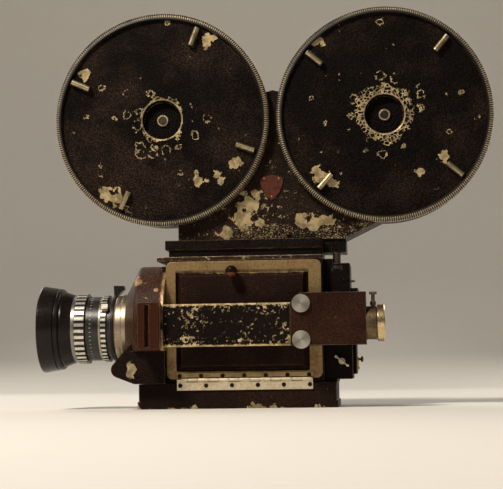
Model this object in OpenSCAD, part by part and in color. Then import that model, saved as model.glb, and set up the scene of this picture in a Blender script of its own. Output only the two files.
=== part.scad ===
// Twin-magazine 35 mm reflex cine camera.
// Lens points along -X, the door and finder face -Y, +Z is up.
// The origin is the mouth of the tripod socket in the flat underside; the film runs in the plane Y = 0.

/* [Body] */
// Length of the body box, front to rear
body_len = 138; // [130:1:150]
// Height of the body box above the base
body_h = 108; // [104:1:116]
// Film plane to the door-side face of the body box
door_side = 33; // [31:0.5:37]
// Film plane to the mechanism-side face of the body box
mech_side = 36; // [35:0.5:42]
// Tripod socket to the front face of the body box
socket_to_front = 62; // [58:1:66]
// Wall of the body casting
wall = 4; // [3:0.25:4.5]
// Thickness of the cap plate on the body box
cap_t = 3.5; // [2.5:0.25:5]
// How far the cap plate overhangs the front face
cap_front = 8; // [4:0.5:10]
// Thickness of the cover on the mechanism side
side_cover_t = 3.5; // [3:0.25:5]
// Thickness of the mechanism plate
mech_plate_t = 3; // [2:0.25:4]
// Film plane to the mechanism plate
mech_plate_y = 20; // [19:0.25:21]
// Width of the ledge that the mechanism plate is set against
ledge_w = 3; // [2:0.25:4]

/* [Base] */
// Height of the base
base_h = 22; // [20:0.5:26]
// How far the base runs ahead of the body box
base_front = 26; // [22:0.5:30]
// How far the base runs behind the body box
base_rear = 12; // [10:0.5:16]
// How far the base stands proud of the body box on the door side
base_proud = 3; // [3:0.25:4]
// Height of the foot ledge round the base
foot_h = 6.5; // [4:0.25:9]
// Set-back above the foot ledge
foot_step = 1.2; // [0.5:0.1:2]
// Corner radius of the base
base_corner = 3; // [1:0.25:5]
// Major radius of the 3/8 inch tripod thread
socket_r = 4.76; // [3.1:0.01:5]
// Depth of the tripod thread
socket_depth = 14; // [10:0.5:16]

/* [Door] */
// Height of the door's lower edge above the base
door_rise = 4; // [3.5:0.25:5]
// Thickness of the door frame
frame_t = 3; // [2.5:0.25:4]
// Width of the front stile of the door frame
stile_front = 8.5; // [7.5:0.25:10]
// Width of the rear stile of the door frame
stile_rear = 11; // [9:0.25:13]
// Width of the top rail of the door frame
rail_top = 8; // [7:0.25:10]
// Width of the bottom rail of the door frame
rail_bottom = 6.5; // [6:0.25:8]
// Corner radius of the door frame
frame_corner = 5; // [3:0.25:6]
// How far the panel's flange reaches behind the frame
flange_lap = 3; // [2:0.25:3.5]
// Thickness of the panel's flange
flange_t = 2; // [1.5:0.25:3]
// Groove between the frame and the raised panel
panel_groove = 2; // [1:0.25:3]
// Width of the bevel round the raised panel
panel_bevel = 3; // [1.5:0.25:4]
// How far the raised panel stands proud of the frame
panel_proud = 2.5; // [1.5:0.25:3]
// Clearance of the door's flange in the body opening
door_fit = 0.6; // [0.4:0.05:1]
// Radius of the latch knob
latch_r = 5.2; // [4:0.1:6]
// How far the latch knob stands off the panel
latch_h = 14; // [10:0.5:18]
// Radius of the latch spindle
latch_pin_r = 1.6; // [1.2:0.1:2]
// Latch position behind the front edge of the door
latch_back = 59; // [50:0.5:70]

/* [Hinge] */
// Radius of the hinge knuckles
knuckle_r = 1.5; // [1.3:0.05:1.6]
// Radius of the hinge pin
hinge_pin_r = 0.7; // [0.5:0.05:0.8]
// Number of hinge knuckles
knuckles = 13; // [7:2:17]
// Gap between neighbouring knuckles
knuckle_gap = 0.3; // [0.2:0.05:0.6]
// Thickness of the hinge leaves
leaf_t = 1.5; // [1:0.1:1.5]
// Length of the hinge
hinge_len = 119; // [100:1:122]
// Hinge position behind the front edge of the door
hinge_back = 9; // [6:0.5:12]
// Height of the leaf on the door
door_leaf_h = 5.8; // [4:0.1:6.2]
// Height of the leaf on the base
base_leaf_h = 8.8; // [6:0.1:10]

/* [Finder] */
// Height of the front tube
tube_h = 37; // [34:0.5:40]
// Depth of the front tube off the door panel
tube_depth = 19.5; // [18.5:0.5:24]
// Length of the prism housing at the rear of the finder
prism_len = 65; // [60:0.5:70]
// Rise of the prism housing above the front tube
prism_rise = 8; // [5:0.5:12]
// How far the prism housing stands proud of the front tube
prism_proud = 5.5; // [3:0.5:7]
// Cut at the upper front corner of the prism housing
prism_cut = 9; // [5:0.5:12]
// Wall of the finder castings
finder_wall = 2.5; // [2:0.25:3]
// Radius of the light port between housing and finder
port_r = 5.5; // [4:0.25:6]
// Radius of the two large screw heads
disc_r = 7.8; // [6:0.1:8.5]
// Thickness of the two large screw heads
disc_t = 2.5; // [1.5:0.1:3.5]
// Height of the screws above and below the finder axis
disc_spread = 15.5; // [13:0.25:16]
// Rise of the pair of large screws over the finder axis
disc_rise = 1.8; // [0:0.1:2.5]
// Large screws ahead of the door's rear stile
disc_ahead = 5.5; // [4:0.1:8]
// Large screws behind the front edge of the prism housing
disc_back = 9.5; // [8.6:0.1:10.5]
// Shank radius of the large screws
disc_shank_r = 3; // [2:0.1:3.5]
// Radius of the eyepiece tube
eye_r = 14.3; // [12:0.1:15]
// Length of the eyepiece tube
eye_len = 11; // [9:0.25:14]
// Radius of the eyepiece focusing ring
eye_ring_r = 16; // [15.5:0.1:18]
// Width of the eyepiece focusing ring
eye_ring_w = 5; // [4:0.25:7]
// Bore of the eyepiece
eye_bore = 10; // [8:0.25:11]
// Shank radius of the eyepiece clamp screw
clamp_r = 1.6; // [1.2:0.1:2]
// Height of the eyepiece clamp screw over the tube
clamp_h = 12.5; // [8:0.5:15]
// Length of the clamp screw's cross bar
clamp_bar = 6.6; // [5:0.2:9]

/* [Front housing] */
// Height of the lens axis over the underside
lens_z = 72.3; // [71.5:0.1:73.5]
// Depth of the shutter housing ahead of the body box
dome_depth = 37; // [35:0.5:39]
// Gap between the shutter housing and the cap plate over it
dome_gap = 2.7; // [1:0.1:4]
// Radius of the shutter housing's flat front
dome_front_r = 33.5; // [32:0.5:35]
// Rounding between the cone and the barrel of the shutter housing
dome_round = 8; // [5:0.5:10]
// How far the cone of the shutter housing runs back
dome_cone = 9.5; // [8:0.5:12]
// Height of the joint between shutter housing and lower cover
split_z = 51; // [50:0.25:52]
// Set-in of the lower front cover's sides from the shutter housing
chin_in = 9; // [6:0.5:11]
// Wall at the sides of the lower front cover
chin_wall = 6; // [4:0.5:8]
// Forward reach of the lower cover's nose
chin_reach = 10.3; // [8:0.1:14]
// Radius of the nose of the lower cover
chin_r = 7; // [5:0.25:9]
// Height of the nose of the lower cover above the base
chin_rise = 13; // [11:0.5:15]
// Height that the nose's upper slope climbs above the joint
chin_climb = 6.5; // [4:0.25:8]
// Length of the slotted filter block
block_len = 18; // [16:0.5:20]
// Height of the slotted filter block
block_h = 40; // [38:0.5:41]
// Height of the filter block's foot over the joint
block_lift = 1.3; // [0.8:0.1:2]
// Gap between the filter block and the body box
block_gap = 2; // [1:0.1:3]
// How far the seat of the filter block stands off the shutter housing
block_rise = 9; // [7:0.5:11]
// Thickness of the filter block
block_t = 6; // [5:0.25:8]
// Width of the filter slot
slot_w = 4; // [3:0.1:5]
// Length of the filter slot
slot_len = 36.5; // [30:0.5:37]
// Depth of the filter slot
slot_depth = 4.5; // [3:0.25:4.5]

/* [Lens] */
// Radius of the mount flange
mount_r = 30.2; // [29:0.1:31]
// Depth of the mount flange
mount_depth = 11; // [9:0.5:14]
// Depth of the turning lock ring on the mount
lock_w = 3.5; // [3:0.25:5]
// Radius of the mount nose that carries the lock ring
nose_r = 28.4; // [27:0.1:28.8]
// Core radius of the lens barrel
core_r = 26; // [25:0.1:26.5]
// Clear bore of the lens barrel
lens_bore = 17; // [14:0.5:18]
// Length of the rear section of the barrel
rear_len = 3; // [2.5:0.25:5]
// Radius of the rear section of the barrel
rear_r = 28; // [27:0.1:29]
// Width of the aperture ring
aperture_w = 5; // [4:0.25:7]
// Radius of the aperture ring
aperture_r = 30.3; // [29.5:0.1:32]
// Length of the barrel between the rings
mid_len = 13.5; // [11:0.25:16]
// Radius of the barrel between the rings
mid_r = 28.8; // [27:0.1:29]
// Width of the focus ring
focus_w = 9.2; // [8:0.2:12]
// Radius of the focus ring
focus_r = 31.7; // [30.5:0.1:33]
// Number of flutes on the focus ring
focus_flutes = 36; // [24:1:40]
// Number of flutes on the aperture ring
aperture_flutes = 40; // [24:1:48]
// Depth of the flutes
flute_depth = 0.9; // [0.5:0.1:1.2]
// Width of the grey collar ahead of the focus ring
collar_w = 3; // [2:0.25:4]
// Radius of the grey collar
collar_r = 30; // [29:0.1:31]
// Length of the hood's tapered neck
neck_len = 10.5; // [8:0.25:14]
// Length of the hood's front section
hood_len = 18.5; // [15:0.5:24]
// Radius of the hood at its mouth
hood_r = 39; // [37:0.25:42]
// Radius of the hood at the groove behind its front section
hood_back_r = 36.2; // [35:0.1:37]
// Radius of the neck where it meets the hood's front section
neck_r = 33.6; // [33:0.1:35]
// Wall of the hood
hood_wall = 2; // [1.5:0.1:3]

/* [Magazine] */
// Gap between the two lids
lid_gap = 6; // [4:0.5:10]
// Middle of the magazine behind the front of the body box
mag_back = 96; // [92:0.5:100]
// Height of the drums over the seat
drum_lift = 16; // [13:0.5:20]
// Wall of the drums
drum_wall = 3.5; // [3:0.25:4.5]
// Film plane to the open front edge of the drums
drum_front = 25; // [24:0.25:27]
// Film plane to the back of the drums
drum_back = 24; // [23:0.25:25]
// Back wall of the drums
drum_floor = 4; // [3:0.25:5]
// Film plane to the front of the web between the drums
web_front = 21; // [20.5:0.25:21.5]
// Outer radius of the lids
lid_r = 96; // [95.5:0.25:97]
// How far the lid rim stands out round the drum
rim_lap = 3; // [2.5:0.25:4]
// Width of the knurled lid rim
rim_w = 6; // [5:0.25:7]
// Depth of the lid rim
rim_depth = 9.5; // [8.5:0.25:11]
// How far the rim stands proud of the lid face
rim_proud = 3.5; // [2:0.25:5]
// Thickness of the lid face
lid_t = 2.5; // [2:0.1:3]
// Radius of the cup in the middle of the lid
cup_r = 17.5; // [14:0.25:20]
// Depth of the cup in the middle of the lid
cup_depth = 7; // [4:0.25:9]
// Length of the lid lugs
lug_len = 17; // [14:0.5:20]
// Set-in of the lid lugs from the edge of the lid
lug_edge = 8; // [7:0.5:12]
// Width of the lid lugs
lug_w = 5.2; // [4:0.1:6]
// Height of the lid lugs over the lid face
lug_h = 5.8; // [4:0.1:6.5]
// Length of the magazine foot on the seat
foot_len = 148; // [140:1:152]
// Foot position behind the front of the body box
foot_back = 10; // [6:0.5:14]
// Height of the web's saddle over the drum centres
saddle_rise = 25; // [15:0.5:35]
// Radius of a film core
core_roll_r = 25.4; // [22:0.1:27]
// Radius of a spindle
spindle_r = 6; // [4:0.1:7]
// Radius of a spindle's front end in the lid
spindle_tip_r = 3.4; // [2.5:0.1:4]
// Groove radius of the take-up pulley
takeup_pulley_r = 22; // [16:0.5:26]
// Groove radius of the pulley on the sprocket shaft
drive_pulley_r = 11; // [9:0.5:12]
// Width of the belt pulleys
pulley_w = 8; // [6:0.5:10]
// Width of the flat take-up belt
belt_w = 5; // [3:0.25:5.5]
// Thickness of the take-up belt
belt_t = 2; // [1:0.1:2.5]

/* [Seat] */
// Height of the lower rail of the magazine seat
seat_low_h = 6.5; // [4:0.25:9]
// Height of the upper rail of the magazine seat
seat_up_h = 8; // [6:0.25:10]
// Half width of the upper rail
seat_half = 33; // [30:0.5:34]
// Set-in of the lower rail
seat_step = 2.5; // [1:0.25:4]
// Length of the narrow tail of the seat
tail_len = 21; // [19:0.5:24]
// Half width of the tail
tail_half = 19; // [16:0.5:22]
// Start of the film throat behind the front of the body box
throat_back = 57; // [52:0.5:62]
// Length of the film throat
throat_len = 50; // [44:0.5:54]
// Half width of the film throat
throat_half = 18; // [17.75:0.05:18]

/* [Rear] */
// Depth of the rear block behind the body box
rear_block_len = 11.5; // [9:0.25:12]
// Room for the lock screw between the upper rear box and the cap plate's top
lock_room = 7.5; // [6:0.25:9]
// Depth of the rear box behind the rear block
rear_box_len = 13.5; // [11:0.25:16]
// Half width of the rear box
rear_half = 28; // [24:0.5:30]
// Depth of the terminal cover on the rear box
terminal_t = 3.5; // [2:0.25:5]
// Depth of the upper rear box
upper_len = 24; // [22:0.5:26]
// Height of the upper rear box
upper_h = 26; // [22:0.5:27.5]
// Half width of the upper rear box
upper_half = 24; // [22:0.5:26]
// Radius of the magazine lock wheel
lock_wheel_r = 6.5; // [5.5:0.1:7]
// Radius of the magazine lock screw
lock_screw_r = 3.5; // [2.5:0.1:4]
// Span of the wing screw
wing_span = 15; // [12:0.5:18]
// Radius of the wing screw's hub
wing_hub_r = 2.8; // [2:0.1:3.5]
// Radius of the small rear knob
rear_knob_r = 2.6; // [2:0.1:3.5]
// Radius of the rear push pin
push_pin_r = 1; // [0.8:0.05:1.5]
// Travel of the rear push pin
push_travel = 2; // [1:0.1:3]

/* [Mechanism] */
// Teeth of the pinion on the drive shaft
pinion_teeth = 12; // [12:1:14]
// Teeth of the gear on the sprocket shaft
gear_teeth = 48; // [44:1:48]
// Gear module
gear_m = 1; // [1:0.01:1.02]
// Sprocket shaft behind the front of the body box
sprocket_back = 74; // [70:0.5:78]
// Sprocket shaft above the base
sprocket_rise = 76; // [74:0.5:78]
// Teeth of the film sprocket
sprocket_teeth = 16; // [14:1:18]
// Film perforation pitch
perf_pitch = 4.75; // [4.7:0.01:4.8]
// Radius of the sprocket and drive shafts
shaft_r = 4; // [3:0.1:4.5]
// Film plane behind the front of the body box
gate_back = 19; // [18:0.25:22]
// Thickness of the aperture plate
gate_t = 2.5; // [2:0.1:3]
// Pull-down stroke of the claw
claw_stroke = 19; // [18:0.1:19.5]
// Radius of the mirror shutter
shutter_r = 27; // [25:0.25:27]
// Thickness of the mirror shutter
shutter_t = 1; // [0.6:0.1:1.5]
// Radius of the shutter shaft
shutter_shaft_r = 2.5; // [2:0.1:3]
// Radius of a keeper roller
keeper_r = 6; // [4:0.1:7]
// Radius of the motor
motor_r = 29; // [24:0.5:30]
// Length of the motor
motor_len = 62; // [50:1:75]
// Radius of the inching knob
inching_r = 11; // [8:0.25:14]

/* [Fits] */
// Radial running clearance of shafts, pins and rings
run_fit = 0.05; // [0.03:0.01:0.08]
// Air gap between parts that move past each other
air = 0.4; // [0.3:0.05:0.5]

/* [Hidden] */
$fn = 64;
eps = 0.01;
seat_gap = 0.05;

// Body box
bx0 = -socket_to_front;
bx1 = bx0 + body_len;
by0 = -door_side;
by1 = mech_side;
bz0 = base_h;
bz1 = base_h + body_h;
cap_z = bz1 + cap_t;
cover_y = by1 + side_cover_t;
base_x0 = bx0 - base_front;
base_x1 = bx1 + base_rear;
base_y0 = by0 - base_proud;

// Door: outer edge, opening in the frame, flange of the panel
door_x0 = bx0 + 0.5;
door_x1 = bx1 - 1;
door_z0 = bz0 + door_rise;
door_z1 = bz1 - 1;
frame_y = by0 - frame_t;
panel_y = frame_y - panel_proud;
open_x0 = door_x0 + stile_front;
open_x1 = door_x1 - stile_rear;
open_z0 = door_z0 + rail_bottom;
open_z1 = door_z1 - rail_top;
latch_x = door_x0 + latch_back;
latch_z = open_z1 - latch_pin_r - air;

// Hinge axis
hinge_y = frame_y - knuckle_r - 0.1;
hinge_z = door_z0 - 0.7;
hinge_x0 = door_x0 + hinge_back;
knuckle_len = hinge_len / knuckles;

// Finder
tube_x0 = bx0 + 0.3;
disc_x = open_x1 - disc_ahead;
tube_x1 = disc_x - disc_back;
tube_y = panel_y - tube_depth;
finder_z = lens_z;
tube_z0 = finder_z - tube_h / 2;
tube_z1 = finder_z + tube_h / 2;
prism_x1 = tube_x1 + prism_len;
prism_y = tube_y - prism_proud;
prism_z1 = tube_z1 + prism_rise;
finder_y = prism_y + eye_r - 1;
disc_z = [finder_z + disc_rise - disc_spread, finder_z + disc_rise + disc_spread];
eye_x1 = prism_x1 + eye_len;

// Shutter housing and lens
dome_r = bz1 - dome_gap - lens_z;
dome_x0 = bx0 - dome_depth;
chin_half = dome_r - chin_in;
block_seat = dome_r + block_rise;
block_z0 = split_z + block_lift;
boss_x1 = bx0 - block_gap;
block_x0 = boss_x1 - block_len;
mount_x = dome_x0 - mount_depth;
lock_x = mount_x - lock_w;
ap_x1 = lock_x - rear_len - air;
ap_x0 = ap_x1 - aperture_w;
mid_x0 = ap_x0 - air - mid_len;
focus_x1 = mid_x0 - air;
focus_x0 = focus_x1 - focus_w;
collar_x0 = focus_x0 - air - collar_w;
neck_x0 = collar_x0 - neck_len;
hood_x0 = neck_x0 - hood_len;

// Magazine seat and magazine
seat_z = cap_z + seat_low_h;
seat_top = seat_z + seat_up_h;
throat_x0 = bx0 + throat_back;
throat_x1 = throat_x0 + throat_len;
mag_x = bx0 + mag_back;
drum_r = lid_r - rim_lap;
drum_z = seat_top + drum_lift + drum_r;
drum_x = [mag_x - lid_r - lid_gap / 2, mag_x + lid_r + lid_gap / 2];
lug_out = lid_r - lug_edge;
lug_in = lug_out - lug_len;
passage_drop = 45;
passage_front = 43;
passage_rear = 30;
shield_drop = 62;
lid_face = drum_front + air + lid_t;
rim_front = lid_face + rim_proud;
foot_x0 = bx0 + foot_back;
foot_x1 = foot_x0 + foot_len;
lug_turns = [[68, 156, 245, 340], [50, 140, 228, 320]];
core_half = 17.5;
belt_y = cover_y + 3 + pulley_w / 2;

// Mechanism
sprocket_x = bx0 + sprocket_back;
sprocket_z = bz0 + sprocket_rise;
gear_gap = gear_m * (pinion_teeth + gear_teeth) / 2 + 0.2;
mesh_turn = -45;
drive_x = sprocket_x + gear_gap * cos(mesh_turn);
drive_z = sprocket_z + gear_gap * sin(mesh_turn);
gear_y0 = mech_plate_y + mech_plate_t + 1;
gear_w = 6;
sprocket_r = sprocket_teeth * perf_pitch / (2 * PI);
gate_x = bx0 + gate_back - gate_t;
gate_half = 19;
gate_low = 30;
gate_high = 32;
gate_rail = 20;
gate_rail_t = 3;
claw_z = lens_z - 8;
prong_y = 14;
prong_half = 1;
shutter_x = bx0 - 4.5;
shutter_z = lens_z - 17;
shutter_hub_r = 5;
motor_y0 = belt_y + pulley_w / 2 + 2;
motor_y1 = motor_y0 + motor_len;
keeper_turns = [60, 180];
keeper_gap = sprocket_r + keeper_r + 1.2;

// Rear
rear_x = bx1 + rear_block_len;
rear_box_x = rear_x + rear_box_len;
upper_z1 = cap_z - lock_room;
upper_z0 = upper_z1 - upper_h;
lock_wheel_x = bx1 + upper_len / 2 + 0.5;
lock_wheel_y = -upper_half + lock_wheel_r - 1;
wing_x = rear_x + 4.2;
wing_rise = 18;
wing_z = bz0 + wing_rise;

// Box between two corners
module block(x0, x1, y0, y1, z0, z1) {
    translate([x0, y0, z0]) cube([x1 - x0, y1 - y0, z1 - z0]);
}
// Rectangle with round corners
module round_rect(x0, x1, y0, y1, r) {
    translate([x0 + r, y0]) square([x1 - x0 - 2 * r, y1 - y0]);
    translate([x0, y0 + r]) square([x1 - x0, y1 - y0 - 2 * r]);
    for (x = [x0 + r, x1 - r], y = [y0 + r, y1 - r]) translate([x, y]) circle(r);
}
// Plate lying flat, with round corners seen from above
module flat_plate(x0, x1, y0, y1, z0, z1, r) {
    translate([0, 0, z0]) linear_extrude(z1 - z0) round_rect(x0, x1, y0, y1, r);
}
// Plate standing on edge, with round corners seen from the door side
module side_plate(x0, x1, z0, z1, y0, y1, r) {
    translate([0, y1, 0]) rotate([90, 0, 0]) linear_extrude(y1 - y0) round_rect(x0, x1, z0, z1, r);
}
// Outline in X and Z, carried through from y0 to y1
module side_profile(y0, y1) {
    translate([0, y1, 0]) rotate([90, 0, 0]) linear_extrude(y1 - y0) children();
}
// Cylinders along X and along Y
module x_cyl(y, z, x0, x1, r) {
    translate([x0, y, z]) rotate([0, 90, 0]) cylinder(h = x1 - x0, r = r);
}
module y_cyl(x, z, y0, y1, r) {
    translate([x, y1, z]) rotate([90, 0, 0]) cylinder(h = y1 - y0, r = r);
}
// Turned shape about an axis along X; the profile gives radius and X
module x_turned(y, z) {
    translate([0, y, z]) rotate([0, 90, 0]) rotate_extrude() children();
}
// Turned shape about an axis along Y; the profile gives radius and distance towards the door side
module y_turned(x, z) {
    translate([x, 0, z]) rotate([90, 0, 0]) rotate_extrude() children();
}
// Film throat cut through the seat, the cap plate and the body's roof
module throat(z0, z1) {
    block(throat_x0, throat_x1, -throat_half, throat_half, z0, z1);
}
// Points on an arc
function arc(x, y, r, a0, a1, n = 8) = [for (i = [0 : n]) let (a = a0 + (a1 - a0) * i / n)
    [x + r * cos(a), y + r * sin(a)]];
// Where a tangent from point p touches a circle of radius r round c, on the given side
function tangent(p, c, r, side) = let (d = p - c, l = norm(d), a = atan2(d[1], d[0]) + side * acos(r / l))
    c + r * [cos(a), sin(a)];

// Cast base with the tripod thread in its flat underside
module base_plate() color("#3a2a22") difference() {
    union() {
        flat_plate(base_x0, base_x1, base_y0, cover_y, 0, foot_h, base_corner);
        flat_plate(base_x0 + foot_step, base_x1 - foot_step, base_y0, cover_y - foot_step,
            foot_h - eps, base_h, base_corner);
    }
    translate([0, 0, -1]) cylinder(h = socket_depth + 1, r = socket_r);
}

// Shutter axis: turned 45 degrees in plan, so that the mirror throws the picture to the finder side
module on_shutter_axis() {
    translate([shutter_x, 0, shutter_z]) rotate([0, 90, 45]) children();
}

// Cast film chamber, open on the door side and on the mechanism side
module body_shell() color("#3d2c24") difference() {
    union() {
        difference() {
            block(bx0, bx1, by0, by1, bz0, bz1);
            block(bx0 + wall, bx1 - wall, by0 + wall, mech_plate_y - ledge_w, bz0 + wall, bz1 - wall);
            block(bx0 + wall + ledge_w, bx1 - wall - ledge_w, mech_plate_y - ledge_w - 1, mech_plate_y + 1,
                bz0 + wall + ledge_w, bz1 - wall - ledge_w);
            block(bx0 + wall, bx1 - wall, mech_plate_y, by1 + 1, bz0 + wall, bz1 - wall);
            block(open_x0 - flange_lap - door_fit, open_x1 + flange_lap + door_fit, by0 - 1, by0 + wall + 1,
                open_z0 - flange_lap - door_fit, open_z1 + flange_lap + door_fit);
            block(bx0 - 1, bx0 + wall + 1, -25, -1, shutter_z - shutter_r - 1.2, lens_z + 14);
            block(bx0 - 1, bx0 + wall + 1, -14, 14, lens_z - 9, lens_z + 14);
            throat(bz1 - wall - 1, bz1 + 1);
        }
        on_shutter_axis() translate([0, 0, 6.5]) cylinder(h = 11, r = 6);
    }
    on_shutter_axis() translate([0, 0, -3]) cylinder(h = 6 + air, r = shutter_hub_r + air);
    on_shutter_axis() cylinder(h = 24, r = shutter_shaft_r + run_fit);
}

// Flat cap plate that overhangs the front
module cap_plate() color("#5a4636") difference() {
    flat_plate(bx0 - cap_front, bx1, by0 - 0.5, by1 + 0.5, bz1, cap_z, 1.5);
    throat(bz1 - 1, cap_z + 1);
}

// Cover over the gear side, with bearings for the two shafts
module side_cover() color("#33261f") difference() {
    union() {
        side_plate(bx0, bx1, bz0, bz1, by1, cover_y, 3);
        side_plate(bx0 + 12, bx1 - 12, bz0 + 12, bz1 - 12, cover_y - eps, cover_y + 1.2, 6);
        y_cyl(drive_x, drive_z, cover_y - eps, cover_y + 2.4, 13);
    }
    y_cyl(drive_x, drive_z, by1 - 1, cover_y + 4, shaft_r + run_fit);
    y_cyl(sprocket_x, sprocket_z, by1 - 1, cover_y + 4, shaft_r + run_fit);
}

// Plate that divides the film chamber from the gears and carries the shafts and roller studs
module mechanism_plate() color("#8d8a84") {
    difference() {
        block(bx0 + wall + seat_gap, bx1 - wall - seat_gap, mech_plate_y, mech_plate_y + mech_plate_t,
            bz0 + wall + seat_gap, bz1 - wall - seat_gap);
        y_cyl(drive_x, drive_z, 0, by1, shaft_r + run_fit);
        y_cyl(sprocket_x, sprocket_z, 0, by1, shaft_r + run_fit);
    }
    for (a = keeper_turns) y_cyl(sprocket_x + keeper_gap * cos(a), sprocket_z + keeper_gap * sin(a),
        -17, mech_plate_y + eps, 2);
}

// Dovetail seat with its tail; the magazine foot stands on it
module magazine_seat() color("#201813") difference() {
    union() {
        flat_plate(bx0 + seat_step, bx1, -seat_half + seat_step, seat_half - seat_step,
            cap_z, seat_z + eps, 1);
        flat_plate(bx0 - 0.5, bx1, -seat_half, seat_half, seat_z, seat_top, 1);
        flat_plate(bx1 - 5, bx1 + tail_len, -tail_half, tail_half, cap_z + seat_step, seat_top, 1);
    }
    throat(cap_z - 1, seat_top + 1);
}

// Section of the shutter housing: flat front, cone, rounded shoulder and barrel
module dome_section(inset) {
    x0 = dome_x0 + inset;
    x1 = bx0 - (inset > 0 ? 3 : 0);
    r1 = dome_r - inset;
    cone_a = atan2(dome_cone, r1 - dome_front_r + inset);
    shoulder_x = x0 + dome_cone + dome_round * (1 - sin(cone_a));
    polygon(concat([[0, x0], [dome_front_r - inset, x0]],
        arc(r1 - dome_round, shoulder_x, dome_round, -cone_a, 0), [[r1, x1], [0, x1]]));
}

// Cast shutter housing with the boss that carries the filter block
module front_housing() color("#5b463a") difference() {
    union() {
        intersection() {
            x_turned(0, lens_z) dome_section(0);
            block(dome_x0 - 1, bx0, -dome_r - 1, dome_r + 1, split_z, lens_z + dome_r + 1);
        }
        block(block_x0, boss_x1, -block_seat, 0, block_z0, block_z0 + block_h);
    }
    intersection() {
        x_turned(0, lens_z) dome_section(wall);
        block(dome_x0, bx0, -dome_r, dome_r, split_z + 3, lens_z + dome_r);
    }
    block(block_x0 + 3, boss_x1 - 3, -block_seat + 3, 0, block_z0 + 3, block_z0 + block_h - 3);
    block(dome_x0 + wall, bx0 - 3, -38, 38, split_z - 1, split_z + 4);
    block(bx0 - 4, bx0 + 1, -28, 28, split_z - 1, lens_z + 20);
    x_cyl(0, lens_z, dome_x0 - 1, dome_x0 + wall + 1, lens_bore + 3);
    x_cyl(finder_y, finder_z, boss_x1 - 4, bx0 + 1, port_r);
}

// Lower front cover with a rounded nose, notched round the lens mount
module lower_front_cover() color("#4a382e") {
    nose = [dome_x0 - chin_reach + chin_r, bz0 + chin_rise];
    top = [dome_x0 + 7, split_z + chin_climb];
    low = [base_x0 - 1, bz0 + 0.3];
    difference() {
        side_profile(-chin_half, chin_half) union() {
            polygon([low, [bx0, low[1]], [bx0, split_z], [top[0], split_z], top,
                tangent(top, nose, chin_r, 1), nose, tangent(low, nose, chin_r, -1)]);
            translate(nose) circle(chin_r);
        }
        block(shutter_x - (shutter_r + shutter_t) * cos(45) - air, bx0 + 1, -chin_half + chin_wall,
            chin_half - chin_wall, low[1] + 3, split_z + 1);
        intersection() {
            x_turned(0, lens_z) dome_section(-seat_gap);
            block(dome_x0 - 1, bx0, -dome_r - 1, dome_r + 1, split_z, lens_z);
        }
        x_cyl(0, lens_z, dome_x0 - mount_depth - 40, dome_x0, mount_r + 1.5);
    }
}

// Slotted block that takes a filter holder
module filter_block() color("#6b3d2e") difference() {
    side_plate(block_x0, boss_x1, block_z0, block_z0 + block_h, -block_seat - block_t, -block_seat, 0.8);
    block(block_x0 + block_len / 2 - slot_w / 2 - 1, block_x0 + block_len / 2 + slot_w / 2 - 1,
        -block_seat - block_t - 1, -block_seat - block_t + slot_depth,
        block_z0 + (block_h - slot_len) / 2, block_z0 + (block_h + slot_len) / 2);
}

// Reflex optics in the housing: right-angle prism and ground glass, cemented to the rear wall
module finder_prism() color("#b9d2d6") {
    px = boss_x1 - 3;
    translate([0, 0, finder_z - 8]) linear_extrude(16)
        polygon([[px, finder_y - 6], [px, finder_y + 6], [px - 12, finder_y + 6]]);
    block(px - 12, bx0 - 3, finder_y + 8, finder_y + 9.5, finder_z - 10, finder_z + 10);
}

// Gate: plate with the film aperture and a rail that guides the claw
module aperture_plate() color("#b8b4aa") difference() {
    union() {
        block(gate_x, gate_x + gate_t, -gate_half, mech_plate_y, lens_z - gate_low, lens_z + gate_high);
        block(gate_x, gate_x + gate_rail, mech_plate_y - gate_rail_t, mech_plate_y,
            lens_z - gate_low, lens_z + gate_high);
    }
    block(gate_x - 1, gate_x + gate_t + 1, -11, 11, lens_z - 8, lens_z + 8);
    for (y = [-prong_y, prong_y]) block(gate_x - 1, gate_x + gate_t + 1, y - 1.8, y + 1.8,
        claw_z - prong_half - claw_stroke - air, claw_z + prong_half + air);
}

// Sprung plate that keeps the film flat in the gate
module pressure_plate() color("#9a968c") difference() {
    block(gate_x + gate_t + 0.3, gate_x + gate_t + 3.3, -17, mech_plate_y - gate_rail_t - seat_gap,
        lens_z + 2, lens_z + 28);
    block(gate_x, gate_x + 8, -8, 8, lens_z + 6, lens_z + 20);
}

// Pull-down claw with two prongs, sliding on the gate rail
module claw() color("#c8c2b4") {
    x0 = gate_x + gate_t + 4;
    block(x0, x0 + 6, -16, mech_plate_y - gate_rail_t - seat_gap, claw_z - 4, claw_z + 4);
    for (y = [-prong_y, prong_y]) block(gate_x + gate_t - 0.8, x0 + eps, y - 1, y + 1,
        claw_z - prong_half, claw_z + prong_half);
}

// Half-round mirror shutter on its slanting shaft
module mirror_shutter() color("#c9ced1") on_shutter_axis() {
    intersection() {
        translate([0, 0, -shutter_t / 2]) cylinder(h = shutter_t, r = shutter_r);
        translate([-shutter_r, 0, -5]) cube([2 * shutter_r, shutter_r, 10]);
    }
    translate([0, 0, -2]) cylinder(h = 5, r = shutter_hub_r);
    translate([0, 0, 2]) cylinder(h = 20, r = shutter_shaft_r);
}

// Trapezoid spur gear outline with running backlash
module gear_outline(teeth) {
    pitch_r = gear_m * teeth / 2;
    step = 360 / teeth;
    root_r = pitch_r - 1.3 * gear_m;
    tip_r = pitch_r + 0.75 * gear_m;
    tooth = [[root_r, -0.28], [tip_r, -0.09], [tip_r, 0.09], [root_r, 0.28]];
    polygon([for (i = [0 : teeth - 1], p = tooth) let (a = step * (i + p[1])) [p[0] * cos(a), p[0] * sin(a)]]);
}

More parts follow.
